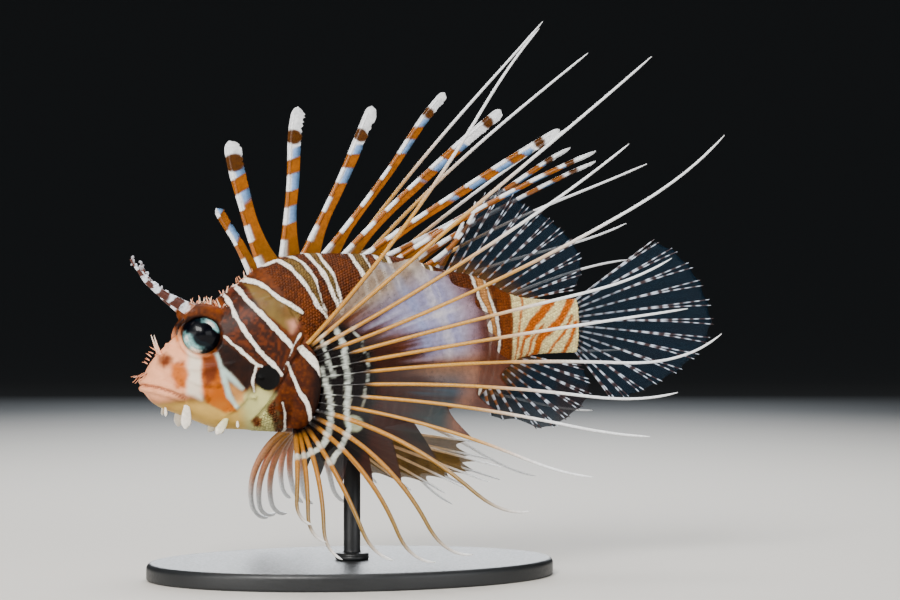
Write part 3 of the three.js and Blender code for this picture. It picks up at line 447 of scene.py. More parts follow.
def distance_to(points, line):
    """Distance from each point to a line of points, in as many dimensions as they have."""
    best = np.full(len(points), 1e9)
    line = np.asarray(line, float)
    for a, b in zip(line[:-1], line[1:]):
        ab = b - a
        t = np.clip((points - a) @ ab / (ab @ ab + 1e-12), 0, 1)
        best = np.minimum(best, np.linalg.norm(points - a - t[:, None] * ab, axis=1))
    return best


def inside(points, outline):
    """Distance from 2D points to an outline, negative outside it."""
    outline = np.asarray(outline, float)
    closed = np.vstack([outline, outline[:1]])
    within = np.zeros(len(points), bool)
    for a, b in zip(closed[:-1], closed[1:]):
        crosses = (a[1] > points[:, 1]) != (b[1] > points[:, 1])
        at = a[0] + (points[:, 1] - a[1]) * (b[0] - a[0]) / (b[1] - a[1] + 1e-12)
        within ^= crosses & (points[:, 0] < at)
    return np.where(within, 1, -1) * distance_to(points, closed)


def smooth_line(line, count):
    """Points along a smooth curve through a line of points."""
    line = np.asarray(line, float)
    ends = np.vstack([2 * line[0] - line[1], line, 2 * line[-1] - line[-2]])
    out = []
    for s in np.linspace(0, len(line) - 1, count):
        i = min(int(s), len(line) - 2)
        t = s - i
        a, b, c, d = ends[i:i + 4]
        out.append(0.5 * (2 * b + (c - a) * t + (2 * a - 5 * b + 4 * c - d) * t**2 + (3 * b - a - 3 * c + d) * t**3))
    return np.array(out)


# From the photo to the flank


def photo_point(px, py, y):
    """The point at a distance y from the middle that the photo's camera sees at a pixel."""
    turn = math.radians(PHOTO["azimuth"])
    c, s = math.cos(turn), math.sin(turn)
    m = (px - PHOTO["width"] / 2) / PHOTO["focal"]
    u = m * (PHOTO["distance"] + y / c) / (1 + m * s / c)
    d = (y - u * s) / c
    z = (PHOTO["height"] / 2 - py) * (PHOTO["distance"] + d) / PHOTO["focal"]
    return np.array([u * c - d * s, y, z]) + AIM * [1, 0, 1]


def flank_point(px, py):
    """The point of the near flank at a pixel, or of the middle plane beyond the body's outline."""
    y = -8.0
    for _ in range(8):
        x, _, z = photo_point(px, py, y)
        y = -float(flank(x, z))
    return photo_point(px, py, y)


def flat_place(points):
    """Where points lie on the flank as the photo's camera sees them, the same for both sides."""
    x, y, z = points.T
    lean = math.tan(math.radians(-PHOTO["azimuth"]))
    return np.stack([x + (np.abs(y) - flank(x, z)) * lean, z], 1)


def flank_line(pixels):
    """A smooth line on the flat flank, carried on over the back or under the belly near which it ends."""
    line = np.array([flank_point(*p)[[0, 2]] for p in pixels])
    for end, other in ((0, 1), (-1, -2)):
        x, z = line[end]
        top, bottom = float(along(TOP, x)), float(along(BOTTOM, x))
        ahead = (line[end] - line[other]) / np.linalg.norm(line[end] - line[other])
        reach = 5 if z > top - 3.5 else 7 if z < bottom + 5 else 0
        if reach:
            line = np.insert(line, 0 if end == 0 else len(line), line[end] + ahead * reach, axis=0)
    return smooth_line(line, 4 * len(line))


def stroke(flat, line, start, end):
    """Distance from flat points to the edge of a stroke whose width goes from start to end."""
    best = np.full(len(flat), 9.0)
    near = np.flatnonzero(
        (flat[:, 0] > line[:, 0].min() - 5) & (flat[:, 0] < line[:, 0].max() + 5)
        & (flat[:, 1] > line[:, 1].min() - 5) & (flat[:, 1] < line[:, 1].max() + 5)
    )
    points = flat[near]
    found = np.full(len(points), 9.0)
    last = len(line) - 1
    for k, (a, b) in enumerate(zip(line[:-1], line[1:])):
        ab = b - a
        t = np.clip((points - a) @ ab / (ab @ ab + 1e-12), 0, 1)
        width = mix(start, end, (k + t) / last)
        found = np.minimum(found, np.linalg.norm(points - a - t[:, None] * ab, axis=1) - width / 2)
    best[near] = found
    return best


# Meshes


class Shape:
    """Points in mm, faces, and marks for each point, gathered from several forms."""

    def __init__(self):
        self.points, self.faces, self.marks, self.count = [], [], {}, 0

    def add(self, points, faces, **marks):
        points = np.asarray(points, float)
        self.points.append(points)
        for group in faces:
            self.faces.extend((np.asarray(group) + self.count).tolist())
        for name, values in marks.items():
            values = np.broadcast_to(np.asarray(values, float), (len(points),) + np.shape(values)[1:])
            self.marks.setdefault(name, []).append(np.array(values))
        self.count += len(points)

    def gathered(self, name):
        return np.concatenate(self.marks[name])

    def cloud(self):
        return np.concatenate(self.points)


def make_mesh(name, points, faces, material=None, smooth=True):
    """A mesh object in metres from points in mm."""
    mesh = bpy.data.meshes.new(name)
    mesh.from_pydata((np.asarray(points) * MM).tolist(), [], faces)
    mesh.validate()
    obj = bpy.data.objects.new(name, mesh)
    bpy.context.scene.collection.objects.link(obj)
    mesh.polygons.foreach_set("use_smooth", [smooth] * len(mesh.polygons))
    if material:
        mesh.materials.append(material)
    return obj


def mark_points(obj, name, values):
    """A number or a colour with alpha for each point of a mesh."""
    values = np.asarray(values, np.float32)
    if values.ndim == 1:
        obj.data.attributes.new(name, "FLOAT", "POINT").data.foreach_set("value", values)
        return
    if values.shape[1] == 3:
        values = np.hstack([values, np.ones((len(values), 1), np.float32)])
    obj.data.attributes.new(name, "FLOAT_COLOR", "POINT").data.foreach_set("color", values.ravel())


def grid_faces(rows, columns, wrap=False):
    """Quads of a grid of points laid row by row."""
    r, c = np.meshgrid(np.arange(rows - 1), np.arange(columns if wrap else columns - 1), indexing="ij")
    r, c = r.ravel(), c.ravel()
    after = (c + 1) % columns
    return np.stack([r * columns + c, (r + 1) * columns + c, (r + 1) * columns + after, r * columns + after], 1)


def frames_along(line, across=None):
    """Directions ahead, to the side and up at each point of a line."""
    ahead = np.gradient(line, axis=0)
    ahead /= np.linalg.norm(ahead, axis=1)[:, None] + 1e-12
    if across is None:
        across = np.array([0.0, 1.0, 0.0]) if abs(ahead[0][1]) < 0.8 else np.array([1.0, 0.0, 0.0])
    side = np.zeros_like(line)
    last = np.asarray(across, float)
    for k, a in enumerate(ahead):
        last = last - a * (last @ a)
        last = last / (np.linalg.norm(last) + 1e-12)
        side[k] = last
    return ahead, side, np.cross(ahead, side)


def tube(line, widths, thicks=None, sides=8, across=None):
    """A closed tube with rounded ends along a line. Returns points, faces and each point's row."""
    line = np.asarray(line, float)
    widths = np.broadcast_to(widths, len(line))
    thicks = widths if thicks is None else np.broadcast_to(thicks, len(line))
    _, side, up = frames_along(line, across)
    a = 2 * np.pi * np.arange(sides) / sides
    ring = (
        line[:, None] + side[:, None] * (widths[:, None] * np.cos(a))[..., None]
        + up[:, None] * (thicks[:, None] * np.sin(a))[..., None]
    )
    points = np.vstack([ring.reshape(-1, 3), line[:1], line[-1:]])
    count = len(line) * sides
    j = np.arange(sides)
    start = np.stack([np.full(sides, count), j, (j + 1) % sides], 1)
    end = np.stack([np.full(sides, count + 1), count - sides + (j + 1) % sides, count - sides + j], 1)
    rows = np.concatenate([np.repeat(np.arange(len(line)), sides), [0, len(line) - 1]])
    return points, [grid_faces(len(line), sides, wrap=True)[:, ::-1], start, end], rows


def shell(grid, thickness):
    """A closed sheet of some thickness round a grid of points, shape (rows, columns, 3)."""
    rows, columns, _ = grid.shape
    along_rows = np.gradient(grid, axis=0)
    along_columns = np.gradient(grid, axis=1)
    normal = np.cross(along_rows, along_columns)
    normal /= np.linalg.norm(normal, axis=2)[..., None] + 1e-12
    half = np.broadcast_to(thickness, (rows, columns))[..., None] / 2
    top, bottom = grid + normal * half, grid - normal * half
    points = np.vstack([top.reshape(-1, 3), bottom.reshape(-1, 3)])
    n = rows * columns
    face = grid_faces(rows, columns)
    index = np.arange(n).reshape(rows, columns)
    loop = np.concatenate([index[0, :-1], index[:-1, -1], index[-1, :0:-1], index[:0:-1, 0]])
    ahead = np.roll(loop, -1)
    rim = np.stack([loop, ahead, ahead + n, loop + n], 1)
    return points, [face, face[:, ::-1] + n, rim]


def ellipsoid(centre, radii, turn=(0, 0, 0), detail=(32, 20)):
    """A closed ellipsoid as points and faces."""
    around, rows = detail
    lat = np.linspace(0, np.pi, rows + 1)[1:-1]
    lon = 2 * np.pi * np.arange(around) / around
    ball = np.stack([
        np.outer(np.sin(lat), np.cos(lon)), np.outer(np.sin(lat), np.sin(lon)),
        np.outer(np.cos(lat), np.ones(around)),
    ], 2).reshape(-1, 3)
    ball = np.vstack([ball, [[0, 0, 1], [0, 0, -1]]]) * radii
    spin = np.array(Euler([math.radians(t) for t in turn]).to_matrix())
    count = len(ball) - 2
    j = np.arange(around)
    cap = np.stack([np.full(around, count), j, (j + 1) % around], 1)
    foot = np.stack([np.full(around, count + 1), count - around + (j + 1) % around, count - around + j], 1)
    return ball @ spin.T + centre, [grid_faces(rows - 1, around, wrap=True), cap, foot]


# Materials


def add_node(tree, kind, settings=None, **links):
    """A node with its settings, by property or input name, and its links, by input name."""
    made = tree.nodes.new(kind)
    for key, value in (settings or {}).items():
        if isinstance(key, str) and hasattr(made, key):
            setattr(made, key, value)
        else:
            made.inputs[key].default_value = value
    for key, socket in links.items():
        place = made.inputs[int(key[1:])] if key[0] == "i" and key[1:].isdigit() else made.inputs[key.replace("_", " ")]
        tree.links.new(place, socket)
    return made


def new_material(name):
    """A material with its node tree and its shader, ready for links."""
    made = bpy.data.materials.new(name)
    made.use_nodes = True
    tree = made.node_tree
    return made, tree, tree.nodes["Principled BSDF"]


def set_shader(shader, **values):
    for key, value in values.items():
        shader.inputs[key.replace("_", " ")].default_value = value


def wet_fish_skin(colours, sizes):
    """Fish skin: scales under a thin film of slime, which gives a soft gloss and a fine grain."""
    made, tree, shader = new_material("wet_fish_skin")
    set_shader(shader, Roughness=0.56, IOR=1.36, Specular_IOR_Level=0.22, Coat_Weight=0.04, Coat_Roughness=0.2)
    pigment = add_node(tree, "ShaderNodeAttribute", {"attribute_name": "pigment"})
    line = add_node(tree, "ShaderNodeAttribute", {"attribute_name": "line_distance"})
    scaly = add_node(tree, "ShaderNodeAttribute", {"attribute_name": "scaly"})
    place = add_node(tree, "ShaderNodeTexCoord")
    # Scales are drawn a little longer than they are high.
    per_scale = 1 / (sizes.scale_size * MM)
    stretch = add_node(
        tree, "ShaderNodeMapping", {"Scale": (per_scale, per_scale, 1.25 * per_scale)},
        Vector=place.outputs["Object"],
    )
    cells = add_node(tree, "ShaderNodeTexVoronoi", {"Scale": 1.0, "Randomness": 0.75}, Vector=stretch.outputs[0])
    fleck = add_node(
        tree, "ShaderNodeTexNoise", {"Scale": 1 / (0.7 * MM), "Detail": 3.0, "Roughness": 0.6},
        Vector=place.outputs["Object"],
    )
    # The tone of each scale and the fleck between scales, stronger where the skin is scaly.
    tone = add_node(
        tree, "ShaderNodeMapRange", {"From Min": 0.0, "From Max": 0.8, "To Min": 1.3, "To Max": 0.5},
        Value=cells.outputs["Distance"],
    )
    speck = add_node(
        tree, "ShaderNodeMapRange", {"From Min": 0.3, "From Max": 0.7, "To Min": 0.72, "To Max": 1.28},
        Value=fleck.outputs["Fac"],
    )
    grain = add_node(tree, "ShaderNodeMath", {"operation": "MULTIPLY"}, i0=tone.outputs[0], i1=speck.outputs[0])
    level = add_node(tree, "ShaderNodeMix", {"A": 1.0}, i0=scaly.outputs["Fac"], i3=grain.outputs[0])
    toned = add_node(
        tree, "ShaderNodeVectorMath", {"operation": "SCALE"}, Vector=pigment.outputs["Color"], Scale=level.outputs[0]
    )
    # A thin dark border runs along each white line, and the line itself has a crisp, uneven edge.
    wobble = add_node(tree, "ShaderNodeMath", {"operation": "MULTIPLY_ADD", 1: 0.7, 2: -0.35}, i0=fleck.outputs["Fac"])
    edge = add_node(tree, "ShaderNodeMath", {"operation": "ADD"}, i0=line.outputs["Fac"], i1=wobble.outputs[0])
    border = add_node(
        tree, "ShaderNodeMapRange",
        {"interpolation_type": "SMOOTHSTEP", "From Min": 0.05, "From Max": 0.8, "To Min": 0.6, "To Max": 1.0},
        Value=edge.outputs[0],
    )
    bordered = add_node(
        tree, "ShaderNodeVectorMath", {"operation": "SCALE"}, Vector=toned.outputs[0], Scale=border.outputs[0]
    )
    is_line = add_node(
        tree, "ShaderNodeMapRange",
        {"interpolation_type": "SMOOTHSTEP", "From Min": -0.3, "From Max": 0.16, "To Min": 1.0, "To Max": 0.0},
        Value=edge.outputs[0],
    )
    white = add_node(
        tree, "ShaderNodeVectorMath", {"operation": "SCALE", 0: colours.white[:]}, Scale=speck.outputs[0]
    )
    both = add_node(
        tree, "ShaderNodeMix", {"data_type": "RGBA"}, i0=is_line.outputs[0], i6=bordered.outputs[0], i7=white.outputs[0]
    )
    tree.links.new(shader.inputs["Base Color"], both.outputs[2])
    height = add_node(
        tree, "ShaderNodeMath", {"operation": "MULTIPLY"}, i0=cells.outputs["Distance"], i1=scaly.outputs["Fac"]
    )
    relief = add_node(
        tree, "ShaderNodeMath", {"operation": "MULTIPLY_ADD", 1: -0.7}, i0=height.outputs[0], i2=fleck.outputs["Fac"]
    )
    bump = add_node(
        tree, "ShaderNodeBump", {"Strength": 0.5, "Distance": 0.16 * MM}, Height=relief.outputs[0]
    )
    tree.links.new(shader.inputs["Normal"], bump.outputs[0])
    return made


def fin_membrane(colours, sizes):
    """Fin membrane: wet skin two cells thick, which lets light and what is behind it through."""
    made, tree, shader = new_material("fin_membrane")
    set_shader(shader, Roughness=0.45, IOR=1.38, Specular_IOR_Level=0.2)
    pigment = add_node(tree, "ShaderNodeAttribute", {"attribute_name": "pigment"})
    place = add_node(tree, "ShaderNodeTexCoord")
    fibre = add_node(
        tree, "ShaderNodeTexNoise", {"Scale": 1 / (1.2 * MM), "Detail": 4.0, "Roughness": 0.65},
        Vector=place.outputs["Object"],
    )
    tone = add_node(
        tree, "ShaderNodeMapRange", {"From Min": 0.3, "From Max": 0.7, "To Min": 0.75, "To Max": 1.25},
        Value=fibre.outputs["Fac"],
    )
    toned = add_node(
        tree, "ShaderNodeVectorMath", {"operation": "SCALE"}, Vector=pigment.outputs["Color"], Scale=tone.outputs[0]
    )
    tree.links.new(shader.inputs["Base Color"], toned.outputs[0])
    tree.links.new(shader.inputs["Alpha"], pigment.outputs["Alpha"])
    bump = add_node(
        tree, "ShaderNodeBump", {"Strength": 0.35, "Distance": 0.1 * MM}, Height=fibre.outputs["Fac"]
    )
    tree.links.new(shader.inputs["Normal"], bump.outputs[0])
    return made


def fin_ray_bone(colours, sizes):
    """Fin rays and spines: segmented bone under thin skin, with fine rings and a satin gloss."""
    made, tree, shader = new_material("fin_ray_bone")
    set_shader(shader, Roughness=0.36, IOR=1.45, Coat_Weight=0.15, Coat_Roughness=0.2)
    pigment = add_node(tree, "ShaderNodeAttribute", {"attribute_name": "pigment"})
    reach = add_node(tree, "ShaderNodeAttribute", {"attribute_name": "along_mm"})
    # One ring for each bony segment, about 1.1 mm apart.
    ring = add_node(
        tree, "ShaderNodeMath", {"operation": "MULTIPLY", 1: 2 * math.pi / 1.1}, i0=reach.outputs["Fac"]
    )
    wave = add_node(tree, "ShaderNodeMath", {"operation": "SINE"}, i0=ring.outputs[0])
    place = add_node(tree, "ShaderNodeTexCoord")
    fleck = add_node(
        tree, "ShaderNodeTexNoise", {"Scale": 1 / (0.9 * MM), "Detail": 3.0}, Vector=place.outputs["Object"]
    )
    tone = add_node(
        tree, "ShaderNodeMapRange", {"From Min": 0.3, "From Max": 0.7, "To Min": 0.86, "To Max": 1.12},
        Value=fleck.outputs["Fac"],
    )
    toned = add_node(
        tree, "ShaderNodeVectorMath", {"operation": "SCALE"}, Vector=pigment.outputs["Color"], Scale=tone.outputs[0]
    )
    tree.links.new(shader.inputs["Base Color"], toned.outputs[0])
    bump = add_node(tree, "ShaderNodeBump", {"Strength": 0.3, "Distance": 0.08 * MM}, Height=wave.outputs[0])
    tree.links.new(shader.inputs["Normal"], bump.outputs[0])
    return made


def eye_cornea(colours, sizes):
    """Eye: a clear wet cornea over pigment, which gives one sharp highlight."""
    made, tree, shader = new_material("eye_cornea")
    set_shader(shader, Roughness=0.3, IOR=1.38, Specular_IOR_Level=0.15, Coat_Weight=0.16, Coat_Roughness=0.05)
    pigment = add_node(tree, "ShaderNodeAttribute", {"attribute_name": "pigment"})
    place = add_node(tree, "ShaderNodeTexCoord")
    fleck = add_node(
        tree, "ShaderNodeTexNoise", {"Scale": 1 / (0.8 * MM), "Detail": 4.0}, Vector=place.outputs["Object"]
    )
    tone = add_node(
        tree, "ShaderNodeMapRange", {"From Min": 0.3, "From Max": 0.7, "To Min": 0.7, "To Max": 1.3},
        Value=fleck.outputs["Fac"],
    )
    toned = add_node(
        tree, "ShaderNodeVectorMath", {"operation": "SCALE"}, Vector=pigment.outputs["Color"], Scale=tone.outputs[0]
    )
    tree.links.new(shader.inputs["Base Color"], toned.outputs[0])
    return made


def powder_coated_steel(colours, sizes):
    """Steel with baked powder coat: satin, with a fine orange peel and no metal showing."""
    made, tree, shader = new_material("powder_coated_steel")
    set_shader(shader, Metallic=0.0, IOR=1.5)
    place = add_node(tree, "ShaderNodeTexCoord")
    # The peel is about 0.5 mm across, drawn at 0.8 mm so that it shows.
    peel = add_node(
        tree, "ShaderNodeTexNoise", {"Scale": 1 / (0.8 * MM), "Detail": 2.0}, Vector=place.outputs["Object"]
    )
    rough = add_node(
        tree, "ShaderNodeMapRange", {"From Min": 0.3, "From Max": 0.7, "To Min": 0.36, "To Max": 0.5},
        Value=peel.outputs["Fac"],
    )
    tone = add_node(
        tree, "ShaderNodeMapRange", {"From Min": 0.3, "From Max": 0.7, "To Min": 0.88, "To Max": 1.12},
        Value=peel.outputs["Fac"],
    )
    toned = add_node(
        tree, "ShaderNodeVectorMath", {"operation": "SCALE", 0: colours.stand[:]}, Scale=tone.outputs[0]
    )
    tree.links.new(shader.inputs["Base Color"], toned.outputs[0])
    tree.links.new(shader.inputs["Roughness"], rough.outputs[0])
    bump = add_node(tree, "ShaderNodeBump", {"Strength": 0.25, "Distance": 0.06 * MM}, Height=peel.outputs["Fac"])
    tree.links.new(shader.inputs["Normal"], bump.outputs[0])
    return made


FINISHES = {}


def finish(name):
    """One of the materials, made once."""
    if name not in FINISHES:
        scene = bpy.context.scene
        makers = [wet_fish_skin, fin_membrane, fin_ray_bone, eye_cornea, powder_coated_steel]
        FINISHES[name] = {m.__name__: m for m in makers}[name](scene.lionfish_colours, scene.lionfish_sizes)
    return FINISHES[name]


def settle(obj, slot, *nodes):
    """A finished piece rides on the body and takes the place of CAD nodes."""
    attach(obj, "root")
    if nodes:
        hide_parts(*nodes)


def pigments():
    """The colours as arrays by name."""
    group = bpy.context.scene.lionfish_colours
    return {name: np.array(getattr(group, name)[:]) for name in LionfishColours.__annotations__}


def lay(coat, tint, mask):
    """Lays a colour over a coat of colours where a mask says."""
    coat[:] = mix(coat, tint, np.asarray(mask)[:, None])


# Fin parts


def ray_line(root, heading, length, bend, hook, tip_y, steps=48):
    """A ray from its root, with a heading that bends and hooks at the tip and a lean to the tip's y."""
    s = (np.arange(steps) + 0.5) / steps
    turn = np.radians(heading + bend * s + hook * np.maximum(0, (s - 0.72) / 0.28) ** 1.5)
    x = root[0] + np.concatenate([[0], np.cumsum(np.cos(turn))]) * length / steps
    z = root[2] + np.concatenate([[0], np.cumsum(np.sin(turn))]) * length / steps
    y = mix(root[1], tip_y, (np.arange(steps + 1) / steps) ** 0.9)
    return np.stack([x, y, z], 1)


def at(line, shares):
    """Points of a line at shares of its length."""
    place = np.clip(shares, 0, 1) * (len(line) - 1)
    i = np.minimum(place.astype(int), len(line) - 2)
    f = (place - i)[..., None]
    return line[i] * (1 - f) + line[i + 1] * f


# Each stretch of membrane ends inside the ray beside it, at this share of the way to the next ray.
WEB_INSET = 0.04


def web_grid(rays, reaches, rows, columns, scallop, billow=0.0, sails=None):
    """The membrane between rays as a grid: shares run out along the rays, columns across them.

    A sail is the share of a ray's reach that the membrane below it stays short of.
    Returns the grid with, for each point, its share of the ray and its place among the rays.
    """
    share = np.linspace(0, 1, rows + 1)
    grid, shares, places = [], [], []
    for i in range(len(rays) - 1):
        for c in np.linspace(WEB_INSET, 1 - WEB_INSET, columns + 1):
            dip = 1 - (1 - scallop) * np.sin(np.pi * c) * share**2
            if sails is not None:
                dip = dip * (1 - sails[i] * (1 - c) * share)
            here = share * dip
            a, b = at(rays[i], reaches[i] * here), at(rays[i + 1], reaches[i + 1] * here)
            chord = b - a
            bulge = np.zeros_like(a)
            bulge[:, 1] = billow * np.linalg.norm(chord, axis=1) * np.sin(np.pi * c) * share
            grid.append(mix(a, b, c) + bulge)
            shares.append(here)
            places.append(np.full(rows + 1, i + c))
    return np.array(grid).transpose(1, 0, 2), np.array(shares).T, np.array(places).T


def taper(radius, tip, shares, power=1.6):
    return radius * (1 - (1 - tip) * shares**power)


def ray_tubes(shape, line, radius, tip=0.35, index=0.0, sides=8, length=None, sunk=0.0):
    """Adds one ray as a tapered tube, slim for the stretch in mm that is sunk in skin."""
    rows = np.linspace(0, 1, 60)
    points = at(line, rows)
    radii = taper(radius, tip, rows) * mix(0.4, 1, step_soft(sunk - 4, sunk + 1, rows * length))
    radii[-3:] *= [0.92, 0.7, 0.35]
    cloud, faces, row = tube(points, radii, sides=sides)
    shape.add(cloud, faces, share=rows[row], ray=np.full(len(cloud), float(index)),
              long=np.full(len(cloud), float(length)))


def build_rays(name, shape, paint, nodes=()):
    """The rays of a fin as one piece, painted by a function of way, share, ray and length."""
    share, ray, long = (shape.gathered(key) for key in ("share", "ray", "long"))
    obj = make_mesh(name, shape.cloud(), shape.faces, finish("fin_ray_bone"))
    mark_points(obj, "pigment", paint(shape.cloud(), share * long, share, ray, long))
    mark_points(obj, "along_mm", share * long)
    settle(obj, "fin", *nodes)
    return obj


def build_web(name, grid, thickness, pigment, alpha, nodes=()):
    """The membrane of a fin as one closed sheet."""
    points, faces = shell(grid, thickness)
    shape = Shape()
    shape.add(points, faces)
    obj = make_mesh(name, points, shape.faces, finish("fin_membrane"))
    both = np.hstack([pigment.reshape(-1, 3), alpha.reshape(-1, 1)])
    mark_points(obj, "pigment", np.vstack([both, both]))
    settle(obj, "fin", *nodes)
    return obj


def through_one_face(alpha):
    """The opacity of each face of a closed sheet whose two faces together have an opacity."""
    return 1 - np.sqrt(1 - np.clip(alpha, 0, 0.999))


# Operators


class LionfishOperator:
    bl_options = {"REGISTER"}

    def execute(self, context):
        self.build(context.scene.lionfish_sizes, pigments())
        return {"FINISHED"}


def body_ring(x, turns, side=None):
    """Points round the plain body at a place along X, at turns from -90 degrees at the belly."""
    top, bottom, half, mid, power = section(x)
    out = np.sign(np.cos(turns)) * np.abs(np.cos(turns)) ** (2 / power)
    rise = np.sign(np.sin(turns)) * np.abs(np.sin(turns)) ** (2 / power)
    tall = np.where(rise > 0, top - mid, mid - bottom)
    return np.stack([np.broadcast_to(x, np.shape(out)), out * half * (side or 1), mid + rise * tall], -1)


def body_loft():
    """The plain body as a closed loft, fine enough for the skin."""
    rows, around = 240, 120
    x = LIP + (TAIL_END - LIP) * np.linspace(0, 1, rows)[1:] ** 1.5
    turns = 2 * np.pi * np.arange(around) / around
    rings = [body_ring(p, turns) for p in x]
    points = np.vstack([*rings, [[LIP, 0, 57.5], [TAIL_END, 0, float(section(TAIL_END)[3])]]])
    count = len(x) * around
    j = np.arange(around)
    nose = np.stack([np.full(around, count), j, (j + 1) % around], 1)
    tail = np.stack([np.full(around, count + 1), count - around + (j + 1) % around, count - around + j], 1)
    return points, [grid_faces(len(x), around, wrap=True)[:, ::-1], nose, tail]


def pad_form(side):
    """The fleshy pad that the pectoral rays grow from, as a closed form."""
    turns = np.radians(np.linspace(SHOULDER["top"], SHOULDER["end"], 60))
    shares = np.linspace(0, 1, 10)
    rim = [SHOULDER["x"] + SHOULDER["long"] * np.cos(turns), SHOULDER["z"] + SHOULDER["high"] * np.sin(turns)]
    fore = [
        SHOULDER["x"] - PAD["set_back"] + PAD["long"] * np.cos(turns),
        SHOULDER["z"] + (SHOULDER["high"] - PAD["inset"]) * np.sin(turns),
    ]
    x = mix(fore[0][:, None], rim[0][:, None], shares)
    z = mix(fore[1][:, None], rim[1][:, None], shares)
    rise = mix(PAD["edge"], SHOULDER["stand"] + PAD["over_rays"], np.sin(shares * np.pi / 2))
    outer = np.stack([x, side * (flank(x, z) + rise), z], 2)
    inner = np.stack([x, side * np.maximum(flank(x, z) - PAD["sunk"], 0.5), z], 2)
    points = np.vstack([outer.reshape(-1, 3), inner.reshape(-1, 3)])
    rows, columns = x.shape
    n = rows * columns
    face = grid_faces(rows, columns)
    index = np.arange(n).reshape(rows, columns)
    loop = np.concatenate([index[0, :-1], index[:-1, -1], index[-1, :0:-1], index[:0:-1, 0]])
    ahead = np.roll(loop, -1)
    return points, [face, face[:, ::-1] + n, np.stack([loop, ahead, ahead + n, loop + n], 1)]


def on_side(x, z, side, sink=0.0):
    return np.array([x, side * (float(flank(x, z)) - sink), z])


def head_forms(side):
    """Brow, orbit rim, ridges, jaw plate, nostrils and head spines of one side."""
    forms = [ellipsoid([BROW["x"], side * BROW["y"], BROW["z"]], [BROW["long"], BROW["wide"], BROW["high"]], (0, 8, 0))]
    turn = np.radians(np.arange(0, 361, 10))
    rim = np.stack([np.cos(turn), np.zeros_like(turn), np.sin(turn)], 1) * (EYE["across"] + 0.35)
    spin = np.array(Euler((math.radians(side * 20), 0, 0)).to_matrix())
    yaw = np.array(Euler((0, 0, math.radians(side * 11))).to_matrix())
    forms.append(tube((rim @ spin.T) @ yaw.T + [EYE["x"], side * 7.7, EYE["z"]], 0.9)[:2])
    ridges = [
        [[-58, 62.6], [-53, 62.6], [-47, 62.2], [-40, 63], [-33.5, 64.6]],
        [[-33.4, 67], [-31.6, 61], [-33, 55], [-37.4, 50], [-42.5, 47.6]],
        [[-52, 60.4], [-48, 58.4], [-43.5, 57.4], [-38, 58.4]],
        [[-39, 81.8], [-34, 83.6], [-29, 84.4]],
    ]
    for ridge in ridges:
        line = smooth_line([on_side(x, z, side, 0.35) for x, z in ridge], 24)
        forms.append(tube(line, 0.2 + 0.8 * np.sin(np.linspace(0.1, np.pi - 0.1, 24)))[:2])
    spines = [[-35, 64.4, 3.4, 4], [-32, 60, 3.2, -10], [-33.4, 54.8, 3, -25], [-29.5, 82, 3.4, 20], [-38.5, 81.5, 3, 25]]
    for x, z, length, lean in spines:
        root = on_side(x, z, side, 1)
        tip = root + [length * math.cos(math.radians(lean)), side * 1.7, length * math.sin(math.radians(lean))]
        forms.append(tube(mix(root, tip, np.linspace(0, 1, 6)[:, None]), np.linspace(0.95, 0.3, 6))[:2])
    forms.append(ellipsoid([-54.2, side * (float(flank(-54.2, 56.6)) - 0.35), 56.7], [4.6, 1.1, 1.75], (0, 22, side * 14)))
    nose = on_side(-57, 65, side, 0.5)
    forms.append(tube([nose, nose + [-0.3, side * 0.5, 0.8], nose + [-0.6, side * 0.7, 1.6]], [1, 0.9, 0.8])[:2])
    rear = on_side(-54.6, 68.6, side, 0.6)
    forms.append(tube([rear, rear + [0, side * 1.2, 0.3]], [0.95, 0.75])[:2])
    return forms


def lip_form(offset, radius):
    """A rolled lip that follows the gape round the snout."""
    x = np.array([-51.6, -54, -56.5, -58.8, -60.6, -61.8])
    z = np.interp(x, GAPE[:, 0], GAPE[:, 1]) + offset
    half = np.stack([x, flank(x, z) - 0.25, z], 1)
    front = [[LIP + 0.25, 0.9, 57.2 + offset], [LIP + 0.25, -0.9, 57.2 + offset]]
    line = smooth_line(np.vstack([half, front, half[::-1] * [1, -1, 1]]), 60)
    sizes = radius * (0.55 + 0.45 * np.clip((-51 - line[:, 0]) / 5, 0, 1))
    return tube(line, sizes, across=(0, 0, 1))[:2]


def remeshed(shape, voxel):
    """The forms blended into one surface by voxels, as points and quads in mm."""
    mesh = bpy.data.meshes.new("forms")
    mesh.from_pydata(shape.cloud().tolist(), [], shape.faces)
    obj = bpy.data.objects.new("forms", mesh)
    bpy.context.scene.collection.objects.link(obj)
    blend = obj.modifiers.new("blend", "REMESH")
    blend.mode = "VOXEL"
    blend.voxel_size = voxel
    ease = obj.modifiers.new("ease", "SMOOTH")
    ease.factor = 0.5
    ease.iterations = 4
    done = obj.evaluated_get(bpy.context.evaluated_depsgraph_get()).to_mesh()
    points = np.zeros(len(done.vertices) * 3, np.float32)
    done.vertices.foreach_get("co", points)
    faces = [list(p.vertices) for p in done.polygons]
    normals = np.zeros(len(done.vertices) * 3, np.float32)
    done.vertices.foreach_get("normal", normals)
    bpy.data.objects.remove(obj)
    return points.reshape(-1, 3).astype(float), faces, normals.reshape(-1, 3).astype(float)


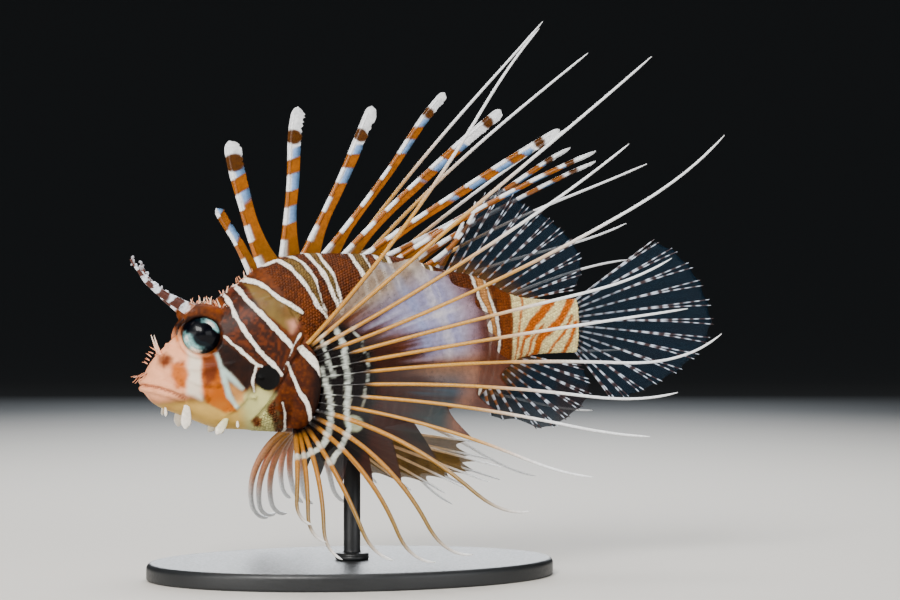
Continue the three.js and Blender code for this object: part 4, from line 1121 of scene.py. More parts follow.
def carve(points, normals):
    """Sinks the eye sockets, mouth line, gill opening and nostrils into the skin."""
    x, y, z = points.T
    side = np.where(y < 0, -1.0, 1.0)
    from_eye = np.hypot(x - EYE["x"], z - EYE["z"])
    depth = 3.4 * step_soft(EYE["across"] - 0.1, EYE["across"] - 1.1, from_eye) * (np.abs(y) > 3)
    points[:, 1] -= side * depth
    flat = np.stack([x, z], 1)
    mouth = distance_to(flat, GAPE)
    points -= normals * (0.8 * np.exp(-((mouth / 0.4) ** 2)) * (x < -50.5))[:, None]
    # Loose folds run back from the mouth and down the cheek.
    for fold in ([(-59, 62), (-55, 59.5), (-52, 56), (-50.5, 52.5)], [(-57, 59.8), (-53.5, 57.6), (-51.5, 54.5)]):
        crease = distance_to(flat, smooth_line(fold, 12))
        points -= normals * (0.3 * np.exp(-((crease / 0.5) ** 2)))[:, None]
    gill = distance_to(flat, GILL_EDGE[2:-1])
    behind = np.interp(z, GILL_EDGE[::-1, 1], GILL_EDGE[::-1, 0]) < x
    on_flank = np.abs(y) > 4
    points += normals * (0.4 * np.exp(-((gill / 1.6) ** 2)) * ~behind * on_flank)[:, None]
    points -= normals * (0.6 * np.exp(-((gill / 0.8) ** 2)) * behind * on_flank)[:, None]
    for nx, nz in ((-57.6, 66.6), (-54.6, 68.8)):
        hole = np.hypot(x - nx, z - nz)
        points -= normals * (0.7 * np.exp(-((hole / 0.42) ** 2)))[:, None]
    return points


def skin_pigment(points, tints):
    """Colours, distance to the nearest white line and scaliness for points of the skin."""
    flat = flat_place(points)
    mirrored = np.stack([points[:, 0], -np.abs(points[:, 1]), points[:, 2]], 1)
    wavy = flat + np.stack([noise(mirrored, 2.4, s) for s in range(2)], 1) * 0.2
    wavy += np.stack([noise(mirrored, 0.9, s) for s in (5, 6)], 1) * 0.1
    x, z = points[:, 0], points[:, 2]
    _, bottom, _, mid, _ = section(x)
    low = np.clip((mid - z) / (mid - bottom), 0, 1)
    fine, broad, patchy = noise(mirrored, 0.75, 7), noise(mirrored, 4.5, 4), noise(mirrored, 1.7, 8)
    coat = mix(tints["flank"], tints["flank_dark"], np.clip(0.5 + 0.3 * broad + 0.45 * fine, 0, 1)[:, None])
    lay(coat, tints["belly"], step_soft(0.8, 1.05, low) * 0.5)
    for field in OLIVE_FIELDS:
        outline = [flank_point(*p)[[0, 2]] for p in field]
        lay(coat, tints["olive"], step_soft(-0.4, 0.4, inside(wavy, outline)) * (0.72 + 0.25 * patchy))
    stem_start = photo_point(513, 320, -4.5)[0]
    scaled_start = photo_point(499, 320, -5)[0]
    lay(coat, mix(tints["umber"], tints["flank"], 0.4), step_soft(-0.3, 0.3, wavy[:, 0] - scaled_start))
    lay(coat, tints["stem"], step_soft(-0.3, 0.3, wavy[:, 0] - stem_start))
    for width, *pixels in STEM_BANDS:
        lay(coat, tints["amber"], step_soft(0.22, -0.22, stroke(wavy, flank_line(pixels), width, width)))
    head = x < np.interp(z, GILL_EDGE[::-1, 1], GILL_EDGE[::-1, 0])
    for name, soft, *pixels in HEAD_PATCHES:
        outline = [flank_point(*p)[[0, 2]] for p in pixels]
        laid = step_soft(-soft, soft, inside(wavy, outline))
        lay(coat, tints[name], laid * (0.92 + 0.08 * patchy))
        if name in ("plum", "bark", "umber"):
            mottle = mix(tints["rust"], tints["umber"], 0.35 if name != "umber" else 0)
            lay(coat, mottle, laid * step_soft(-0.3, 0.5, 0.6 * fine + 0.5 * patchy) * 0.75)
        elif name == "amber":
            lay(coat, tints["umber"], laid * step_soft(0.0, 0.6, 0.4 * fine + 0.7 * patchy) * 0.7)
    # Faint orange mottling of the snout, and a dark line in the mouth that is painted shade of its slit.
    lay(coat, tints["amber"], step_soft(0.2, 0.7, noise(mirrored, 1.8, 9)) * step_soft(-49, -53, x) * 0.16)
    mouth = distance_to(points[:, [0, 2]], GAPE)
    lay(coat, tints["rust"], step_soft(0.55, 0.1, mouth) * (x < -50.8) * 0.7)
    pad = np.hypot((x - SHOULDER["x"] + 1) / (SHOULDER["long"] + 1.2), (z - SHOULDER["z"]) / (SHOULDER["high"] + 0.6))
    on_pad = step_soft(1.04, 0.96, pad) * (x > -24)
    brown = mix(tints["bark"], tints["umber"], np.clip(0.25 + 0.3 * patchy + 0.3 * fine, 0, 1)[:, None])
    lay(coat, brown, on_pad)
    lay(coat, tints["hub"], on_pad * step_soft(-17.5, -13, x) * 0.9)
    spot = flank_point(*BLACK_SPOT["at"])[[0, 2]]
    lay(coat, tints["spot"], step_soft(0.25, -0.25, np.linalg.norm(wavy - spot, axis=1) - BLACK_SPOT["radius"]))
    distance = np.full(len(points), 4.0)
    swell = 0.24 * noise(mirrored, 2.6, 11)
    for start, end, *pixels in WHITE_LINES:
        distance = np.minimum(distance, stroke(wavy, flank_line(pixels), start, end) + swell)
    scaly = np.where(head, 0.3, 0.5) * step_soft(1.0, 0.8, pad)
    scaly = np.where(x < -49, 0.05, scaly)
    return coat, np.clip(distance, -2, 4), np.clip(scaly, 0, 1)


class LIONFISH_OT_skin(LionfishOperator, bpy.types.Operator):
    """Head, jaw, trunk and tail stem as one seamless skin with its pigment"""

    bl_idname = "lionfish.skin"
    bl_label = "Skin"

    def build(self, sizes, tints):
        shape = Shape()
        shape.add(*body_loft())
        for side in (-1, 1):
            shape.add(*pad_form(side))
            for form in head_forms(side):
                shape.add(*form)
        shape.add(*lip_form(0.95, 1.05))
        shape.add(*lip_form(-0.95, 1.0))
        points, faces, normals = remeshed(shape, sizes.voxel)
        points = carve(points, normals)
        coat, line, scaly = skin_pigment(points, tints)
        obj = make_mesh("fish_skin", points, faces, finish("wet_fish_skin"))
        mark_points(obj, "pigment", coat)
        mark_points(obj, "line_distance", line)
        mark_points(obj, "scaly", scaly)
        settle(
            obj, "skin", "head", "lower_jaw", "trunk", "tail_stem", "pectoral_base_left", "pectoral_base_right",
        )


# Outline of a scale as shares of its width rearward and across, and its lift over the skin in mm.
SCALE_OUTLINE = [
    [-0.42, 0, -0.1], [-0.12, 0.46, -0.05], [0.34, 0.44, 0.05], [0.62, 0.17, 0.09],
    [0.62, -0.17, 0.09], [0.34, -0.44, 0.05], [-0.12, -0.46, -0.05],
]
SCALE_PATCH = 0.0015


class LIONFISH_OT_scales(LionfishOperator, bpy.types.Operator):
    """Overlapping scales behind the gill opening, each a small plate that carries the skin's pigment"""

    bl_idname = "lionfish.scales"
    bl_label = "Scales"

    def roots(self, side, sizes, draw):
        """Root, rearward, upward and outward direction, and place on the unwrapped flank, of each scale."""
        turns = np.linspace(-np.pi / 2 + 0.02, np.pi / 2 - 0.02, 161)
        found = []
        for k, x in enumerate(np.arange(-33, TAIL_END - 0.6, 0.74 * sizes.scale_size)):
            ring, after = body_ring(x, turns, side), body_ring(x + 0.2, turns, side)
            way = np.concatenate([[0], np.cumsum(np.linalg.norm(np.diff(ring, axis=0), axis=1))])
            count = int(way[-1] / (0.86 * sizes.scale_size))
            stops = (np.arange(count) + 0.25 + 0.5 * (k % 2) + draw.uniform(-0.13, 0.13, count)) / count * way[-1]
            for values in (ring, after - ring, np.gradient(ring, axis=0)):
                found.append(np.stack([np.interp(stops, way, values[:, c]) for c in range(3)], 1))
            found.append(np.stack([np.full(count, (x + 35) / 110), stops / 75], 1))
        root, rear, up, place = (np.vstack(found[i::4]) for i in range(4))
        rear /= np.linalg.norm(rear, axis=1)[:, None]
        up -= rear * np.sum(up * rear, axis=1)[:, None]
        up /= np.linalg.norm(up, axis=1)[:, None]
        out = np.cross(rear, up) * -side
        x, z = root[:, 0], root[:, 2]
        gill = np.interp(z, GILL_EDGE[::-1, 1], GILL_EDGE[::-1, 0])
        pad = np.hypot((x - SHOULDER["x"] + 1) / (SHOULDER["long"] + 2.4), (z - SHOULDER["z"]) / (SHOULDER["high"] + 1.8))
        keep = (x > gill + 1.1) & (pad > 1)
        return [part[keep] for part in (root, rear, up, out, place)]

    def build(self, sizes, tints):
        draw = np.random.default_rng(8)
        outline = np.array(SCALE_OUTLINE)
        rim = len(outline)
        for side, word in ((-1, "left"), (1, "right")):
            root, rear, up, out, place = self.roots(side, sizes, draw)
            count = len(root)
            size = sizes.scale_size * draw.uniform(0.9, 1.12, count)[:, None, None]
            lift = draw.uniform(0.8, 1.3, count)[:, None, None]
            local = np.vstack([outline, [[0.1, 0, 0.12]], outline - [0, 0, 0.16], [[0.1, 0, -0.2]]])
            points = (
                root[:, None] + size * (rear[:, None] * local[:, :1] + up[:, None] * local[:, 1:2])
                + lift * out[:, None] * local[:, 2:]
            ).reshape(-1, 3)
            j = np.arange(rim)
            after = (j + 1) % rim
            low = rim + 1
            plate = np.vstack([
                np.stack([j, after, np.full(rim, rim)], 1), np.stack([after, j, j + low], 1),
                np.stack([after, j + low, after + low], 1),
                np.stack([after + low, j + low, np.full(rim, low + rim)], 1),
            ])
            if side > 0:
                plate = plate[:, ::-1]
            each = len(local)
            faces = (plate[None] + each * np.arange(count)[:, None, None]).reshape(-1, 3)
            coat, line, _ = skin_pigment(points, tints)
            # Painted shade and highlight on each scale: its rim is darkened and its raised middle lightened, on top of
            # a random tone for each scale.
            shade = np.tile(np.where(np.arange(each) % low == rim, 1.12, 0.72), count)
            tone = np.repeat(draw.uniform(0.75, 1.25, count), each) * shade
            obj = make_mesh(f"scales_{word}", points, faces.tolist(), finish("wet_fish_skin"))
            mark_points(obj, "pigment", np.clip(coat * tone[:, None], 0, 1))
            mark_points(obj, "line_distance", line)
            mark_points(obj, "scaly", np.zeros(len(points)))
            uv = place[:, None] + local[:, :2] * SCALE_PATCH
            corners = np.zeros(len(obj.data.loops), np.int64)
            obj.data.loops.foreach_get("vertex_index", corners)
            layer = obj.data.uv_layers.new(name="OFBake")
            layer.data.foreach_set("uv", uv.reshape(-1, 2)[corners].astype(np.float32).ravel())
            settle(obj, "skin")


def leaf(root, reach, width, thickness=0.35, curl=0.6):
    """A fleshy flap: narrow at its stalk, wide past its middle, with a rounded end."""
    root, reach = np.asarray(root, float), np.asarray(reach, float)
    s = np.linspace(0, 1, 14)
    line = root + reach * s[:, None] + np.outer(curl * s**2, [-0.5, 0, 0.4])
    wide = width * (0.45 + 0.75 * np.sin(np.pi * np.minimum(1, s * 0.62 + 0.08)) ** 1.3)
    wide[-3:] *= [0.85, 0.6, 0.25]
    across = (1, 0, 0) if abs(reach[2]) > abs(reach[0]) else (0, 0, 1)
    return tube(line, wide, np.minimum(wide, thickness), sides=10, across=across)


def whisker(root, reach, width, curl=0.6):
    """A fine cirrus or barbel that tapers to its tip."""
    root, reach = np.asarray(root, float), np.asarray(reach, float)
    s = np.linspace(0, 1, 12)
    line = root + reach * s[:, None] + np.outer(curl * np.sin(np.pi * s), [-0.3, 0.2, 0.4])
    return tube(line, width * (1 - 0.75 * s), sides=6)


class LIONFISH_OT_flaps(LionfishOperator, bpy.types.Operator):
    """Skin flaps of the jaw, cheek, snout and brow, and the nose cirri"""

    bl_idname = "lionfish.flaps"
    bl_label = "Head flaps"

    def build(self, sizes, tints):
        draw = np.random.default_rng(11)
        for side, word in ((-1, "left"), (1, "right")):
            shape = Shape()

            def put(form, tint, tip_tint):
                points, faces, row = form
                share = row / row.max()
                shape.add(points, faces, tint=mix(tints[tint], tints[tip_tint], share[:, None]), share=share)

            put(leaf(on_side(-50.2, 51.8, side, 0.6), (-0.3, side * 1.1, -7.3), 1.3), "cream", "white")
            put(leaf(on_side(-56, 51, side, 0.6), (0.3, side * 0.8, -3.0), 0.42), "cream", "white")
            put(leaf(on_side(-38.4, 47.8, side, 0.6), (-3.1, side * 1.4, -5.0), 1.1), "throat", "white")
            put(leaf(on_side(-35.4, 47, side, 0.6), (0.3, side * 0.8, -2.4), 0.4), "cream", "white")
            # A forked barbel at the corner of the upper lip.
            fork = on_side(-61.2, 60.6, side, 0.3)
            mid = fork + [-2.0, side * 0.5, -0.9]
            put(whisker(fork, mid - fork, 0.34, 0.2), "umber", "snout")
            put(whisker(mid, (-2.0, side * 0.3, -0.2), 0.24, 0.3), "umber", "snout")
            put(whisker(mid, (-1.6, side * 0.1, -1.9), 0.24, -0.2), "umber", "snout")
            nose = on_side(-57.4, 66.2, side, 0.4)
            put(whisker(nose, (-1.9, side * 1.2, 5.6), 0.5, 0.4), "snout", "white")
            for k in range(6):
                root = on_side(-60.8 + 0.55 * k, 63.4 + 1.0 * k, side, 0.2)
                out = (-0.9 - 0.7 * draw.random(), side * 0.5, 0.5 + 0.7 * draw.random())
                put(whisker(root, out, 0.16, 0.1), "snout", "snout")
            # Small branched flaps stand along the brow and the crown.
            for k in range(13):
                x = mix(-47, -38, k / 12) + draw.uniform(-0.25, 0.25)
                hump = math.sqrt(max(0, 1 - ((x - BROW["x"]) / 7.4) ** 2))
                root = np.array([x, side * mix(7.0, 5.6, draw.random()), BROW["z"] + BROW["high"] * hump - 0.4])
                rise = draw.uniform(0.8, 2.8)
                tint = ("snout", "cream", "rust", "amber")[k % 4]
                reach = np.array([draw.uniform(-1.1, 1.0), side * draw.uniform(0, 0.8), rise])
                put(whisker(root, reach, 0.34, 0.2), tint, "snout")
                put(whisker(root + reach * 0.45, (draw.uniform(-0.9, 0.9), side * 0.3, rise * 0.4), 0.2, 0.1), tint, "cream")
            for k in range(10):
                x = mix(-39, -30, k / 9) + draw.uniform(-0.3, 0.3)
                root = np.array([x, side * draw.uniform(1.4, 2.6), float(along(TOP, x)) - 0.45])
                tint = ("rust", "cream", "umber")[k % 3]
                reach = (draw.uniform(-0.9, 0.8), side * 0.6, draw.uniform(0.7, 2.2))
                put(whisker(root, reach, 0.3, 0.15), tint, "snout")
            obj = make_mesh(f"head_flaps_{word}", shape.cloud(), shape.faces, finish("fin_ray_bone"))
            mark_points(obj, "pigment", shape.gathered("tint"))
            mark_points(obj, "along_mm", shape.gathered("share") * 5)
            settle(obj, "skin")


class LIONFISH_OT_tentacles(LionfishOperator, bpy.types.Operator):
    """The banded tentacles over the eyes, with their ragged side flaps"""

    bl_idname = "lionfish.tentacles"
    bl_label = "Eye tentacles"

    def build(self, sizes, tints):
        draw = np.random.default_rng(5)
        for side, word, path in ((-1, "left", LEFT_TENTACLE), (1, "right", RIGHT_TENTACLE)):
            line = smooth_line(np.array(path) * [1, side, 1], 80)
            s = np.linspace(0, 1, 80)
            wide = mix(0.32, 2.1, (1 - s) ** 1.5) * (1 + 0.12 * np.sin(s * 31) * s)
            wide[-2:] *= [0.8, 0.4]
            shape = Shape()
            points, faces, row = tube(line, wide, mix(0.25, 0.8, 1 - s), sides=16, across=(0.65, 0, 0.75))
            shape.add(points, faces, share=s[row], flap=np.zeros(len(points)))
            for k in range(26):
                share = mix(0.08, 0.97, k / 25)
                root = at(line, np.array(share))
                up = 1 if k % 3 else -0.7
                rise = up * mix(2.3, 1.2, share) * draw.uniform(0.5, 1.2)
                reach = np.array([draw.uniform(-0.6, 1.0), side * draw.uniform(-0.5, 0.6), rise])
                points, faces, row = leaf(root, reach, draw.uniform(0.22, 0.5), 0.2, 0.3)
                shape.add(points, faces, share=np.full(len(points), share), flap=row / row.max())
            cloud, share, flap = shape.cloud(), shape.gathered("share"), shape.gathered("flap")
            # Dark red-brown blotches break the white, and the flaps are white at their ends.
            blotch = np.sin(share * 2 * np.pi * 5.4 + 0.4 + 1.1 * noise(cloud, 1.8, 3)) + 0.7 * noise(cloud, 1.3, 6)
            coat = np.tile(tints["ray_tip"], (len(cloud), 1))
            lay(coat, tints["sky"], 0.2 + 0 * share)
            lay(coat, mix(tints["rust"], tints["cheek"], 0.35), step_soft(-0.55, -0.35, blotch) * (1 - 0.6 * flap))
            lay(coat, tints["snout"], step_soft(0.16, 0.0, share) * 0.5)
            obj = make_mesh(f"eye_tentacle_{word}", cloud, shape.faces, finish("fin_ray_bone"))
            mark_points(obj, "pigment", coat)
            mark_points(obj, "along_mm", share * 24)
            settle(obj, "skin", f"tentacle_{word}")


class LIONFISH_OT_eyes(LionfishOperator, bpy.types.Operator):
    """Eyeballs with a domed pupil, a dark bar across and a blue-green glow over and under it"""

    bl_idname = "lionfish.eyes"
    bl_label = "Eyes"

    def build(self, sizes, tints):
        for side, word in ((-1, "left"), (1, "right")):
            centre = np.array([EYE["x"], side * EYE["y"], EYE["z"]])
            radii = [EYE["across"] - 0.1, EYE["deep"] - 0.1, EYE["across"] - 0.1]
            points, faces = ellipsoid(centre, radii, (0, 0, side * 8), (128, 96))
            x, z = points[:, 0] - EYE["x"], points[:, 2] - EYE["z"]
            pupil_x, pupil_z, pupil_r = 0.4, 1.1, 2.7
            from_pupil = np.hypot(x - pupil_x, z - pupil_z)
            outward = points[:, 1] * side > centre[1] * side
            points[:, 1] += side * outward * 0.25 * step_soft(pupil_r + 0.4, 0, from_pupil)
            r, turn = np.hypot(x, z), np.degrees(np.arctan2(z, x))
            speck = noise(points, 0.7, 2)
            coat = np.tile(mix(tints["smoke"], tints["pupil"], 0.72), (len(points), 1))

            def glow(tint, middle, spread, ring, width, strength):
                away = np.abs((turn - middle + 180) % 360 - 180) / spread
                band = np.abs(r - ring) / width
                lay(coat, tints[tint], step_soft(1, 0.25, away + 0.15 * speck) * step_soft(1, 0.3, band) * strength)

            glow("iris", 40, 62, 4.3, 2.1, 0.95)
            glow("iris", 220, 66, 4.4, 1.9, 0.9)
            # The white arcs are painted highlights on the eye.
            glow("white", 55, 26, 4.2, 1.0, 0.85)
            glow("white", 245, 30, 4.8, 0.9, 0.9)
            glow("white", 190, 16, 4.6, 0.6, 0.5)
            lay(coat, tints["umber"], step_soft(5.3, 5.8, r) * 0.6)
            # The bar runs from the front of the brow down and back over the pupil.
            slope = math.radians(-30)
            off = -math.sin(slope) * (x - pupil_x) + math.cos(slope) * (z - pupil_z) + 0.3 * noise(points, 1.4, 2)
            lay(coat, tints["pupil"], step_soft(2.3, 1.8, np.abs(off + 0.1)))
            lay(coat, tints["pupil"], step_soft(pupil_r + 0.1, pupil_r - 0.1, from_pupil))
            shape = Shape()
            shape.add(points, faces)
            eye = make_mesh(f"eyeball_{word}", points, shape.faces, finish("eye_cornea"))
            mark_points(eye, "pigment", coat)
            settle(eye, "eye", f"eye_{word}")


def dorsal_bands(way, across, marks, low, flag, tints):
    """Colours of a dorsal spine at a way from its tip and a share across its flag.

    Below the white tip with its brown spot, orange bands cross both shaft and flag. Between them the
    shaft is white and the flag is blue-grey, until the flag stays orange from a given way down.
    """
    middle, first, solid = marks
    slanted = way + 1.6 * across
    phase = np.mod(slanted - first, DORSAL_PERIOD)
    orange = step_soft(-0.2, 0.2, slanted - first) * step_soft(0.25, -0.25, phase - 4.6)
    coat = np.tile(tints["ray_tip"], (len(way), 1))
    light = step_soft(0.25, 0.5, across) * step_soft(first - 3.5, first - 2.5, slanted)
    lay(coat, tints["sky"], light)
    lay(coat, tints["smoke"], light * step_soft(0.45, 0.95, across) * 0.75)
    core = step_soft(2.4, 1.0, np.abs(phase - 2.3))
    tone = mix(tints["flag_spot"], tints["flag"], np.clip(0.2 + low + 0.4 * core, 0, 1)[:, None])
    lay(coat, tone, orange)
    lay(coat, tone, step_soft(0.28, 0.42, across) * step_soft(solid - 1, solid + 1, slanted))
    around = np.hypot(way - middle, (across - 0.42) * flag * 0.75)
    lay(coat, tints["flag_spot"], step_soft(0.3, -0.3, around - max(1.7, flag * 0.52)))
    return coat


class LIONFISH_OT_dorsal(LionfishOperator, bpy.types.Operator):
    """Twelve dorsal spines, each with a flag of skin that widens to the web at its foot"""

    bl_idname = "lionfish.dorsal"
    bl_label = "Spiny dorsal fin"

    def build(self, sizes, tints):
        shafts, flags = Shape(), Shape()
        web_height = 21.0
        for i, (x, heading, length, bend, hook, lean, flag) in enumerate(DORSAL_SPINES):
            root = np.array([x, 0, float(along(TOP, x)) - ROOT_DEPTH])
            line = ray_line(root, heading, length, bend, hook, lean, 60)
            marks = DORSAL_MARKS[min(i, len(DORSAL_MARKS) - 1)]
            rows = np.linspace(0, 0.955, 90)
            cloud, faces, row = tube(at(line, rows), taper(0.78, 0.4, rows, 1.3), sides=10)
            way = (1 - rows[row]) * length
            coat = dorsal_bands(way, 0 * way + 0.15, marks, 1 - rows[row], flag, tints)
            shafts.add(cloud, faces, tint=coat, way=rows[row] * length)
            # The flag runs from the shaft's front edge to a rear edge that is ragged near the tip.
            share = np.linspace(0.012, 1, 150)
            spine = at(line, share)
            ahead = np.gradient(spine, axis=0)
            ahead /= np.linalg.norm(ahead, axis=1)[:, None]
            rear = np.stack([ahead[:, 2], 0 * ahead[:, 1], -ahead[:, 0]], 1)
            rear /= np.linalg.norm(rear, axis=1)[:, None]
            room = DORSAL_SPINES[i + 1][0] - x if i + 1 < len(DORSAL_SPINES) else flag + 1
            room *= max(0.35, math.sin(math.radians(min(heading, 90))))
            from_tip = (1 - share) * length
            height = np.maximum(0, share * length - ROOT_DEPTH)
            foot = np.maximum(0, room + 0.6 - 0.6 * flag) * np.clip(1 - height / web_height, 0, 1) ** 2.4
            wide = flag * mix(0.6, 1.05 if flag > 2.7 else 0.6, share) + foot
            tooth = np.abs(noise(np.outer(share * length, [1, 0, 0]), 0.8, i))
            wide *= 1 - 0.2 * tooth * step_soft(17, 9, from_tip)
            # The tip is rounded, and the flag reaches ahead of the shaft near it.
            end = np.clip(from_tip / (flag * (0.62 if flag > 2.7 else 3)), 0, 1)
            shut = 1 - np.sqrt(1 - (1 - end) ** 2)
            start = wide * shut * 0.4 - 0.45 - 0.12 * flag * step_soft(0.4, 0.85, share)
            wide = wide * (1 - shut) + 0.05
            across = np.linspace(0, 1, 14)
            ripple = 0.45 * np.sin(share * length / 2.6 + i) * np.minimum(1, height / 6)
            grid = (
                spine[:, None] + rear[:, None] * (wide[:, None] * across + start[:, None])[..., None]
                + np.array([0, 1, 0]) * (ripple[:, None] * across**1.5 * 0.6)[..., None]
            )
            thick = mix(0.7, 0.16, np.sqrt(across))[None] * np.ones((len(share), 1))
            points, faces = shell(grid, thick)
            flat_share, flat_across = np.repeat(share, len(across)), np.tile(across, len(share))
            way, up = (1 - flat_share) * length, flat_share * length
            coat = dorsal_bands(way, flat_across, marks, 1 - flat_share, flag, tints)
            web = step_soft(14, 4, up) * step_soft(0.08, 0.3, flat_across)
            lay(coat, tints["flag_base"], web * 0.7)
            alpha = mix(0.98, 0.72, step_soft(0.4, 0.8, flat_across) * step_soft(0.12, 0.0, np.abs(coat[:, 0] - coat[:, 2])))
            flags.add(points, faces, tint=np.vstack([coat, coat]), alpha=np.tile(alpha, 2))
        obj = make_mesh("dorsal_spines", shafts.cloud(), shafts.faces, finish("fin_ray_bone"))
        mark_points(obj, "pigment", shafts.gathered("tint"))
        mark_points(obj, "along_mm", shafts.gathered("way"))
        settle(obj, "fin", "spiny_dorsal_fin")
        obj = make_mesh("dorsal_flags", flags.cloud(), flags.faces, finish("fin_membrane"))
        alpha = through_one_face(flags.gathered("alpha"))
        mark_points(obj, "pigment", np.hstack([flags.gathered("tint"), alpha[:, None]]))
        settle(obj, "fin")


def shoulder_root(angle, side):
    x = SHOULDER["x"] + (SHOULDER["long"] + GAP) * math.cos(angle)
    z = SHOULDER["z"] + (SHOULDER["high"] + GAP) * math.sin(angle)
    return np.array([x, side * (float(flank(x, z)) + SHOULDER["stand"]), z])


def rings_at(place, way):
    """How much a pale ring covers a place among the pectoral rays and a way out along them."""
    cover = np.zeros(np.shape(way))
    for width, *bends in FIN_RINGS:
        bends = np.array(bends)
        off = np.abs(way - np.interp(place, bends[:, 0], bends[:, 1])) - width / 2
        within = step_soft(bends[0, 0] - 0.5, bends[0, 0], place) * step_soft(bends[-1, 0] + 0.5, bends[-1, 0], place)
        cover = np.maximum(cover, step_soft(0.25, -0.25, off) * within)
    return cover


def fan_colours(grid, way, share, place, tints):
    """Colour and opacity of the pectoral membrane from its dark hub to its brown edge."""
    flat = grid.reshape(-1, 3)
    way, share, place = way.ravel(), share.ravel(), place.ravel()
    cloud = noise(flat, 5, 2)
    # Folds run out along the rays, so this grain is long that way and short across it.
    folds = noise(np.stack([way / 14, place * 4.5, 0 * way], 1), 1, 5)
    folds = 0.6 * folds + 0.4 * noise(np.stack([way / 9, place * 11, 0 * way], 1), 1, 6)
    hub = np.interp(place, *np.array(HUB_ON_WEB).T)
    # Past the dark hub a sheen opens: greige on top, lilac below it, then tan, slate and brown.
    start = np.interp(place, [0, 1.5, 3, 4.5, 6, 8, 10, 12], [7, 17, 23, 27, 30, 29, 22, 16])
    sheen = step_soft(start - 6, start + 8, way + 7 * folds + 1.5 * cloud)
    coat = np.tile(mix(tints["hub"], tints["bark"], 0.55), (len(way), 1))
    lay(coat, tints["umber"], step_soft(start - 9, start, way) * step_soft(6.5, 4, place) * 0.35)
    tan, slate = mix(tints["tan"], tints["bark"], 0.7), mix(tints["smoke"], tints["sky"], 0.05)
    order = [tints["mist"], tints["mist"], tints["lilac"], tints["lilac"], tan, mix(tan, slate, 0.6), slate,
             tints["smoke"], tints["pelvic"]]
    lit = [np.interp(place, [0, 1.2, 2.2, 5, 5.9, 6.6, 7.3, 9, 10.6], np.array(order)[:, c]) for c in range(3)]
    lay(coat, np.stack(lit, 1), sheen)
    upper = step_soft(6.2, 4.6, place) * sheen
    # Painted light and shade of folds that the flat membrane does not have: white on the ridges in the upper sheen,
    # plum in the creases.
    lay(coat, tints["white"], step_soft(0.1, 0.9, folds) * 0.35 * upper)
    lay(coat, tints["plum"], step_soft(0.0, -0.9, folds) * 0.5)
    for reach, tint, cover in ((31, "sky", 0.2), (37, "white", 0.22), (42, "white", 0.1)):
        band = step_soft(2.2, 0.5, np.abs(way - reach + 1.2 * cloud + 0.6 * folds))
        lay(coat, tints[tint], band * cover * upper)
    edge = np.interp(place, [5, 7, 9], [47, 43.5, 39])
    lay(coat, mix(tints["snout"], tints["margin"], 0.8), step_soft(edge - 7, edge - 2, way + cloud) * 0.55)
    lay(coat, tints["margin"], step_soft(edge - 3, edge + 1, way + 1.5 * cloud) * 0.9)
    between = np.abs(place - np.round(place)) * 2
    # Painted shadows of the rays: a dark line beside each ray, and darker streaks beside them near the hub.
    lay(coat, tints["bark"], step_soft(0.45, 0.1, between) * step_soft(0.3, -0.5, folds) * 0.5)
    ray_shadow_near_hub = step_soft(0.5, 0.12, between + 0.12 * folds) * step_soft(start + 5, start - 8, way)
    lay(coat, tints["hub"], ray_shadow_near_hub * 0.85)
    lay(coat, tints["hub"], step_soft(hub + 1.5, hub - 1.5, way + 1.2 * folds))
    rings = rings_at(place, way + 0.5 * cloud + 0.35 * folds)
    lay(coat, mix(tints["teal"], tints["white"], 0.5), rings * np.clip(0.7 + 0.6 * folds, 0, 0.95))
    patch = np.hypot((way - 10) / 2.6, (place - 10.1) / 0.55)
    lay(coat, tints["teal"], step_soft(1.1, 0.8, patch) * 0.7)
    lay(coat, tints["bark"], step_soft(0.955, 0.985, share) * 0.8)
    shade = step_soft(6.5, 8.5, place) * (1 - rings)
    coat *= mix(np.ones(3), np.array([0.85, 0.68, 0.5]), shade[:, None])
    return coat, mix(0.975, 0.86, upper)


